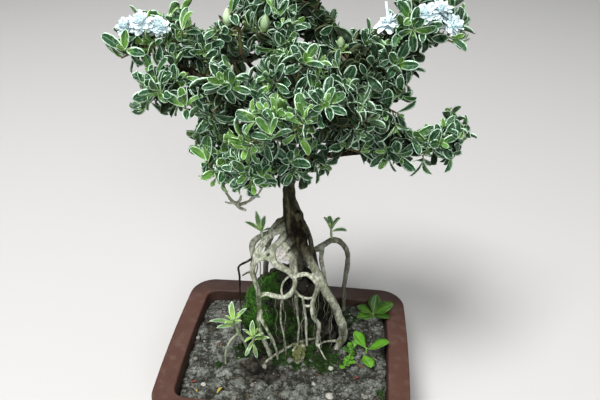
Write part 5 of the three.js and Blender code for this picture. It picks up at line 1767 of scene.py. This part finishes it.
def make_pot():
    """The moulded pot: one shell with a flat rim, an outer lip and two drain holes."""
    lip = POT_HEIGHT - LIP_HEIGHT
    inner = RIM_WIDTH + INNER_TAPER
    profile = rounded_profile([
        (POT_TAPER + 20, 0, 0), (POT_TAPER, 0, 2.2), (LIP_STEP, lip, 0.8), (0.4, lip + 0.6, 1.4),
        (0, POT_HEIGHT, 1.8), (RIM_WIDTH, POT_HEIGHT, 1.8), (inner, FLOOR, 4), (inner + 20, FLOOR, 0)])
    pot = made("pot_shell", *loft([pot_ring(inset, z) for inset, z in profile]))
    for x in (-DRAIN_X, DRAIN_X):
        drill_drain(pot, x)
    pot.data.shade_smooth()
    pot.data.set_sharp_from_angle(angle=radians(SMOOTH_ANGLE))
    inside, dusty = [], []
    for vertex in pot.data.vertices:
        x, y, z = vertex.co / MM
        inset = min(POT_LENGTH / 2 - abs(x), POT_WIDTH / 2 - abs(y))
        # Inside the rim the pot takes soil splashes and painted shade.
        within = float(inset > RIM_WIDTH - 0.5 and z > FLOOR / 2)
        inside.append(within * (1 - fade(z, POT_HEIGHT - 3, POT_HEIGHT)))
        # A painted shadow of the canopy on the pot's back, with less dust there.
        dusty.append(1 - 0.8 * fade(y, POT_SHADOW_AT - POT_SHADOW_FADE, POT_SHADOW_AT))
    store(pot, inside=inside, dusty=dusty)
    paint(pot, pot_finish())
    finish_piece(pot, "pot", "pot")


# ---- Soil, moss and grit ----

SOIL_LEVEL = 63
SOIL_GAP = 0.4
MOUND_CENTRE = Vector((3, 30, 0))
MOUND = [
    [50, 50, 36], [66, 49, 36], [78, 43, 32], [95, 38, 27], [115, 34, 24], [132, 29, 20],
    [146, 19, 14], [152, 8, 7]]
MOUND_SIDES = 44
SOIL_VOXEL = 1.35
# Clods: how far apart they lie and how high they stand.
CLODS = [(13, 3.9), (5.6, 2.3)]
CLOD_MIDDLE = 0.55
DAMP_FRONT = Vector((-26, -24, 64))
FLAT_ANGLE = 1.2
# How much height lies between the pits, where shade is painted darkest, and the crests, painted palest.
CREST_SPAN = 5.5
# The mound bulges to the left between these heights.
LEFT_SWELL = 13
SWELL_LEVELS = (60, 84, 128, 150)
# Patches of moss: middle, reach and how thick they are.
MOSS_PATCHES = [
    ((-44, 20, 104), 34, 1), ((-30, 8, 78), 24, 0.8), ((-24, 16, 140), 22, 0.95),
    ((12, -7, 128), 15, 0.9), ((14, -8, 66), 20, 0.85), ((40, -5, 64), 24, 0.9),
    ((-8, -6, 64), 20, 0.8), ((-48, -2, 64), 15, 0.8), ((20, 2, 66), 22, 0.75),
    ((104, -44, 64), 15, 0.7), ((-70, -24, 63), 6, 0.75), ((-26, 62, 100), 30, 0.7),
    ((40, 58, 84), 28, 0.8), ((8, 66, 120), 22, 0.6), ((60, 56, 64), 22, 0.5),
    ((70, 20, 64), 20, 0.4), ((3, 10, 100), 40, 0.42)]
# Where moss is fresh and bright: middle, reach and how fresh it is.
FRESH_PATCHES = [((-42, 18, 108), 38, 1), ((-22, 14, 142), 24, 0.8), ((14, -7, 130), 15, 0.7)]
# Covers of small shapes: number on a square metre, smallest and largest size.
MOSS_COVER = (600000, 1.0, 2.8)
ROOT_MOSS_COVER = (90000, 0.8, 1.8)
GRIT_COVER = (38000, 0.6, 2.8)
# Pebbles on the soil: x, y, size and shade from dark to pale.
PEBBLES = [
    (47, -54, 7.5, 0.96), (46, -18, 6, 0.93), (-22, -22, 5.5, 0.6), (0, -35, 8, 0.2),
    (-79, -51, 5, 0.95), (20, -60, 5, 0.8), (-45, -66, 6, 0.55), (82, -50, 5.5, 0.7),
    (63, -70, 5, 0.88), (-95, -20, 5, 0.6), (-60, 30, 5, 0.75), (-84, 52, 6, 0.5),
    (100, 20, 5, 0.85), (30, -40, 4.5, 0.9), (-100, 10, 4.5, 0.85), (74, 84, 5.5, 0.7),
    (-30, -48, 4.5, 0.75), (104, -66, 5, 0.6), (-12, -70, 4, 0.9), (10, 84, 5, 0.8)]
# Litter on the soil: x, y, turn in degrees, length and how faded, and bits of twig: both ends.
LITTER = [
    (-63, -62, 70, 9, 0.95), (-93, -50, 20, 6, 0.45), (-83, -61, 120, 5, 0.8), (81, -13, 160, 9, 0.1),
    (70, -30, 40, 6, 0.6), (28, -70, 200, 7, 0.15), (-34, -58, 300, 6, 0.05), (-74, 6, 250, 7, 0.3),
    (98, 36, 80, 7, 0.2), (-98, 34, 10, 6, 0.1), (60, 80, 220, 8, 0.7), (-55, 78, 140, 8, 0.15)]
FALLEN_TWIGS = [
    ((-52, -40), (-38, -46)), ((86, -58), (96, -48)), ((-88, 20), (-80, 30)), ((30, -26), (40, -30)),
    ((-14, 82), (2, 86)), ((-8, -52), (-1, -60))]
LITTER_LIFT = 1.6


def patched(point, patches):
    """How strongly the strongest of some patches reaches a point, from 0 to 1."""
    return max(
        strength * near(point, Vector(middle), 0.4 * reach, reach)
        for middle, reach, strength in patches)


def crumb_height(point):
    """Rounded clods with creases between them, coarse and fine."""
    strength = 0.75 + 0.9 * noise.noise(point / 27)
    height = 0.45 * noise.noise(point / 1.9)
    for spacing, rise in CLODS:
        height += rise * strength * (CLOD_MIDDLE - noise.voronoi(point / spacing)[0][0])
    return height


def soil_height(x, y):
    """Height of the crumbly surface: a slow swell, a finer ripple and a slight fall to the front."""
    swell = 1.3 * sin(x / 17 + 1) * cos(y / 23)
    ripple = 0.7 * sin((x + 2 * y) / 11)
    return SOIL_LEVEL + swell + ripple + (y - 20) / 60


def on_soil(x, y):
    """A place on top of the crumbly surface."""
    return Vector((x, y, soil_height(x, y) + LITTER_LIFT))


def mound_rings():
    """Rings of the lumpy mound, from its foot to its top."""
    low, full, ending, high = SWELL_LEVELS
    rings = []
    for point, half_y in smooth_route([[half_x, 0, z, half_y] for z, half_x, half_y in MOUND], 4):
        half_x, z = point.x, point.z
        swell = LEFT_SWELL * fade(z, low, full) * (1 - fade(z, ending, high))
        ring = []
        for turn in turns(MOUND_SIDES):
            lump = 1 + 0.07 * sin(3 * turn + z / 9) + 0.05 * sin(5 * turn - z / 6)
            spoke = Vector((half_x * cos(turn), half_y * sin(turn), 0)) * lump
            left = Vector((-swell * max(-cos(turn), 0) ** 2, 0, 0))
            ring.append(MOUND_CENTRE + spoke + left + UP * z)
        rings.append(ring)
    return rings


def mound_distance(point):
    """0 at the mound's axis and 1 at its foot, seen from above."""
    _, reach_x, reach_y = MOUND[1]
    return Vector(((point.x - MOUND_CENTRE.x) / reach_x, (point.y - MOUND_CENTRE.y) / reach_y)).length


def soil_relief(point):
    """Crumbs and clods on the flat soil, and lumps and hollows on the mound."""
    top = fade(point.z, SOIL_LEVEL - 5, SOIL_LEVEL - 2)
    mound = fade(point.z, SOIL_LEVEL + 3, SOIL_LEVEL + 12)
    lumps = 4.2 * noise.noise(point / 11) + 2.6 * noise.noise(point / 5.5)
    return top * (crumb_height(point) + lumps * mound)


def moss_at(point):
    """How mossy a place on the soil is, from 0 to 1."""
    return clamped(patched(point, MOSS_PATCHES) * (0.85 + 1.2 * noise.noise(point / 7)))


def damp_at(point):
    """How dark the soil is, from 0 to 1: painted shade all over the mound, among the roots, and moist
    soil round its foot and in front.
    """
    mound = fade(point.z, SOIL_LEVEL + 1, SOIL_LEVEL + 8)
    foot = 1 - fade(mound_distance(point), 0.95, 1.3)
    return max(mound, foot, near(point, DAMP_FRONT, 12, 30))


def tuft_shape(name, blades, seed):
    """A tuft of moss: short blades that lean out from one foot. Its points keep their height."""
    draws = drawer(seed)
    points, faces = [], []
    for k in range(blades):
        turn = k * GOLDEN_ANGLE
        lean = 0.25 + 0.75 * next(draws)
        height = 0.55 + 0.45 * next(draws)
        way = level_way(turn)
        foot = way * 0.16
        side = UP.cross(way) * 0.15
        tip = foot + Vector((cos(turn) * lean, sin(turn) * lean, height))
        a = len(points)
        points += [foot - side - UP * 0.1, foot + side - UP * 0.1, foot + way * 0.12 - UP * 0.1, tip]
        faces += [[a + 1, a, a + 2], [a, a + 1, a + 3], [a + 1, a + 2, a + 3], [a + 2, a, a + 3]]
    shape = made(name, [point / MM for point in points], faces)
    store(shape, tip=[0.0, 0.0, 0.0, 1.0] * blades)
    return shape


def grain_shape(name, seed, flat, subdivisions=1):
    """An angular grain of grit about one metre across, to be copied at its real size."""
    bpy.ops.mesh.primitive_ico_sphere_add(subdivisions=subdivisions, radius=0.5)
    shape = bpy.context.object
    shape.name = name
    for vertex in shape.data.vertices:
        lump = 1 + 0.55 * noise.noise(vertex.co * 2.3 + Vector((seed, 0, 0)))
        vertex.co = Vector((vertex.co.x * lump, vertex.co.y * lump * 0.85, vertex.co.z * lump * flat))
    return shape


def make_soil():
    """The soil with its mound; its points keep how mossy they are, how much painted shade and moisture
    darken them, and how high they are.
    """
    soil = made("soil_surface", *loft([
        pot_ring(RIM_WIDTH + INNER_TAPER + SOIL_GAP, FLOOR + SOIL_GAP),
        pot_ring(RIM_WIDTH + SOIL_GAP + 1, SOIL_LEVEL)]))
    join(soil, [made("mound", *loft(mound_rings()))])
    one_skin(soil, SOIL_VOXEL)
    for vertex in soil.data.vertices:
        x, y, z = vertex.co / MM
        vertex.co.z += (soil_height(x, y) - SOIL_LEVEL) * fade(z, SOIL_LEVEL - 8, SOIL_LEVEL - 2) * MM
    crests = []

    def relief(point):
        height = soil_relief(point)
        crests.append(clamped(0.5 + height / CREST_SPAN))
        return height

    push(soil, relief)
    moss, fresh, damp, grit = [], [], [], []
    for vertex in soil.data.vertices:
        point = vertex.co / MM
        open_air = fade(point.z, SOIL_LEVEL - 4, SOIL_LEVEL - 2)
        level = open_air * fade(vertex.normal.z, 0.2, 0.7)
        moss.append(moss_at(point) * open_air)
        fresh.append(patched(point, FRESH_PATCHES))
        # Painted shade on the mound, and moist soil round it.
        damp.append(damp_at(point))
        grit.append(level * (1 - 0.9 * moss[-1]) * (1 - 0.6 * damp[-1]))
    store(soil, crest=crests, moss=moss, fresh=fresh, damp=damp, grit=grit)
    modify(soil, "DECIMATE", decimate_type="DISSOLVE", angle_limit=radians(FLAT_ANGLE))
    soil.data.shade_smooth()
    paint(soil, soil_finish())
    finish_piece(soil, "soil", "soil")
    return soil


def covered(ground, name, shapes, density, cover, look, seed):
    """A cover of small shapes on a piece, as a piece of its own."""
    number, smallest, largest = cover
    layer = placed(name, ground.data.copy())
    COVER_TREE.run(layer, {
        "Shapes": shapes, "Density": density, "Number": float(number), "Smallest": smallest * MM,
        "Largest": largest * MM, "Material": look, "Seed": seed})
    return layer


def make_moss(soil, wood):
    """Tufts of moss on the soil and on the roots near it."""
    tufts = shape_library("moss shapes", [
        tuft_shape("tuft_" + str(k), 5 + k % 2, 50 + k) for k in range(3)])
    look = moss_finish()
    moss = covered(soil, "moss_cover", tufts, "moss", MOSS_COVER, look, 3)
    join(moss, [covered(wood, "root_moss", tufts, "moss", ROOT_MOSS_COVER, look, 3)])
    finish_piece(moss, "soil")


def make_grit(soil):
    """Crumbs, grit and pebbles that lie on the soil."""
    grains = shape_library("grit shapes", [
        grain_shape("grain_" + str(k), 4.7 * k, 0.75) for k in range(4)])
    look = grit_finish()
    grit = covered(soil, "grit_cover", grains, "grit", GRIT_COVER, look, 8)
    pebbles = []
    for k, (x, y, size, shade) in enumerate(PEBBLES):
        pebble = grain_shape("pebble_" + str(k), 2.9 * k, 0.6, 3)
        turn = Matrix.Rotation(k * GOLDEN_ANGLE, 4, "Z")
        pebble.data.transform(Matrix.Translation(on_soil(x, y) * MM) @ turn @ Matrix.Scale(size * MM, 4))
        pebble.data.shade_smooth()
        store(pebble, shade=[shade] * len(pebble.data.vertices))
        paint(pebble, look)
        pebbles.append(pebble)
    join(grit, pebbles)
    finish_piece(grit, "soil")


def make_litter():
    """Fallen leaves and bits of twig on the soil."""
    plant = Plant()
    look = litter_finish()
    for k, (x, y, turn, length, faded) in enumerate(LITTER):
        heading = level_way(radians(turn)) + UP * 0.1
        facing = Vector((0.3 * sin(5 * k), 0.3 * cos(5 * k), 1))
        plant.blade(on_soil(x, y), heading, facing, length / LEAF_LENGTH, faded)
    for low, high in FALLEN_TWIGS:
        plant.bowed_stem((on_soil(*low), on_soil(*high), 1), 0.7, 0.5, 4)
    litter = plant_piece("soil_litter", plant, (LEAF_SHAPES, look), LEAF_LENGTH, look, 4)
    finish_piece(litter, "soil")


# ---- Studio ----

CAMERA_PLACE = (59.3, -451.1, 535.3)
CAMERA_DOWN = 31.81
CAMERA_TURN = 5.93
CAMERA_LENS = 36
SENSOR = 36
FLOOR_SIZE = 6
SKY = 0.15

TARGET = (0, 0, 230)
# Each lamp: its place, its size in metres and its power in watts.
LAMPS = [
    ("key", (-756, -1260, 3056), 1.1, 150),
    ("front", (936, -2700, 1886), 1.4, 60),
    ("rim", (-540, 2160, 2516), 1.8, 23),
]


def make_studio():
    """A pale floor and soft light from above."""
    half = FLOOR_SIZE / 2 / MM
    corners = [(-half, -half, 0), (half, -half, 0), (half, half, 0), (-half, half, 0)]
    floor = made("floor", corners, [[0, 1, 2, 3]])
    look = Finish("pale_floor", 0.7, 0.2)
    look.colour((0.54, 0.53, 0.515))
    paint(floor, look.material)
    scene = bpy.context.scene
    scene.view_settings.view_transform = "Standard"
    scene.world = bpy.data.worlds.new("studio")
    scene.world.use_nodes = True
    sky = scene.world.node_tree.nodes["Background"].inputs
    sky["Color"].default_value = (0.8, 0.86, 0.94, 1)
    sky["Strength"].default_value = SKY
    for name, place, size, power in LAMPS:
        lamp = bpy.data.lights.new(name, "AREA")
        lamp.size = size
        lamp.energy = power
        light = placed(name, lamp)
        light.location = Vector(place) * MM
        light.rotation_euler = (light.location - Vector(TARGET) * MM).to_track_quat("Z", "Y").to_euler()


def make_camera():
    """A camera in front that looks down on the tree."""
    lens = bpy.data.cameras.new("camera")
    lens.sensor_fit = "HORIZONTAL"
    lens.sensor_width = SENSOR
    lens.lens = CAMERA_LENS
    lens.clip_start = 0.01
    lens.clip_end = 30
    camera = placed("camera", lens)
    camera.location = Vector(CAMERA_PLACE) * MM
    camera.rotation_euler = (radians(90 - CAMERA_DOWN), 0, radians(CAMERA_TURN))
    bpy.context.scene.camera = camera


# ---- The whole scene ----

# Without a seed of its own, noise_vector follows the clock.
noise.seed_set(WANDER_SEED)

PLANT_TREE = plant_tree()
COVER_TREE = cover_tree()
LEAF_SHAPES = blade_library("leaf")
NARROW_SHAPES = blade_library("narrow")
FREE_SPACES = free_spaces()

make_camera()
make_studio()
make_pot()
soil = make_soil()
wood = make_wood()
make_moss(soil, wood)
make_grit(soil)
make_litter()
make_sprays()
make_blooms()
young_leaf = young_leaf_finish()
make_buds(young_leaf)
make_low_plants(young_leaf)
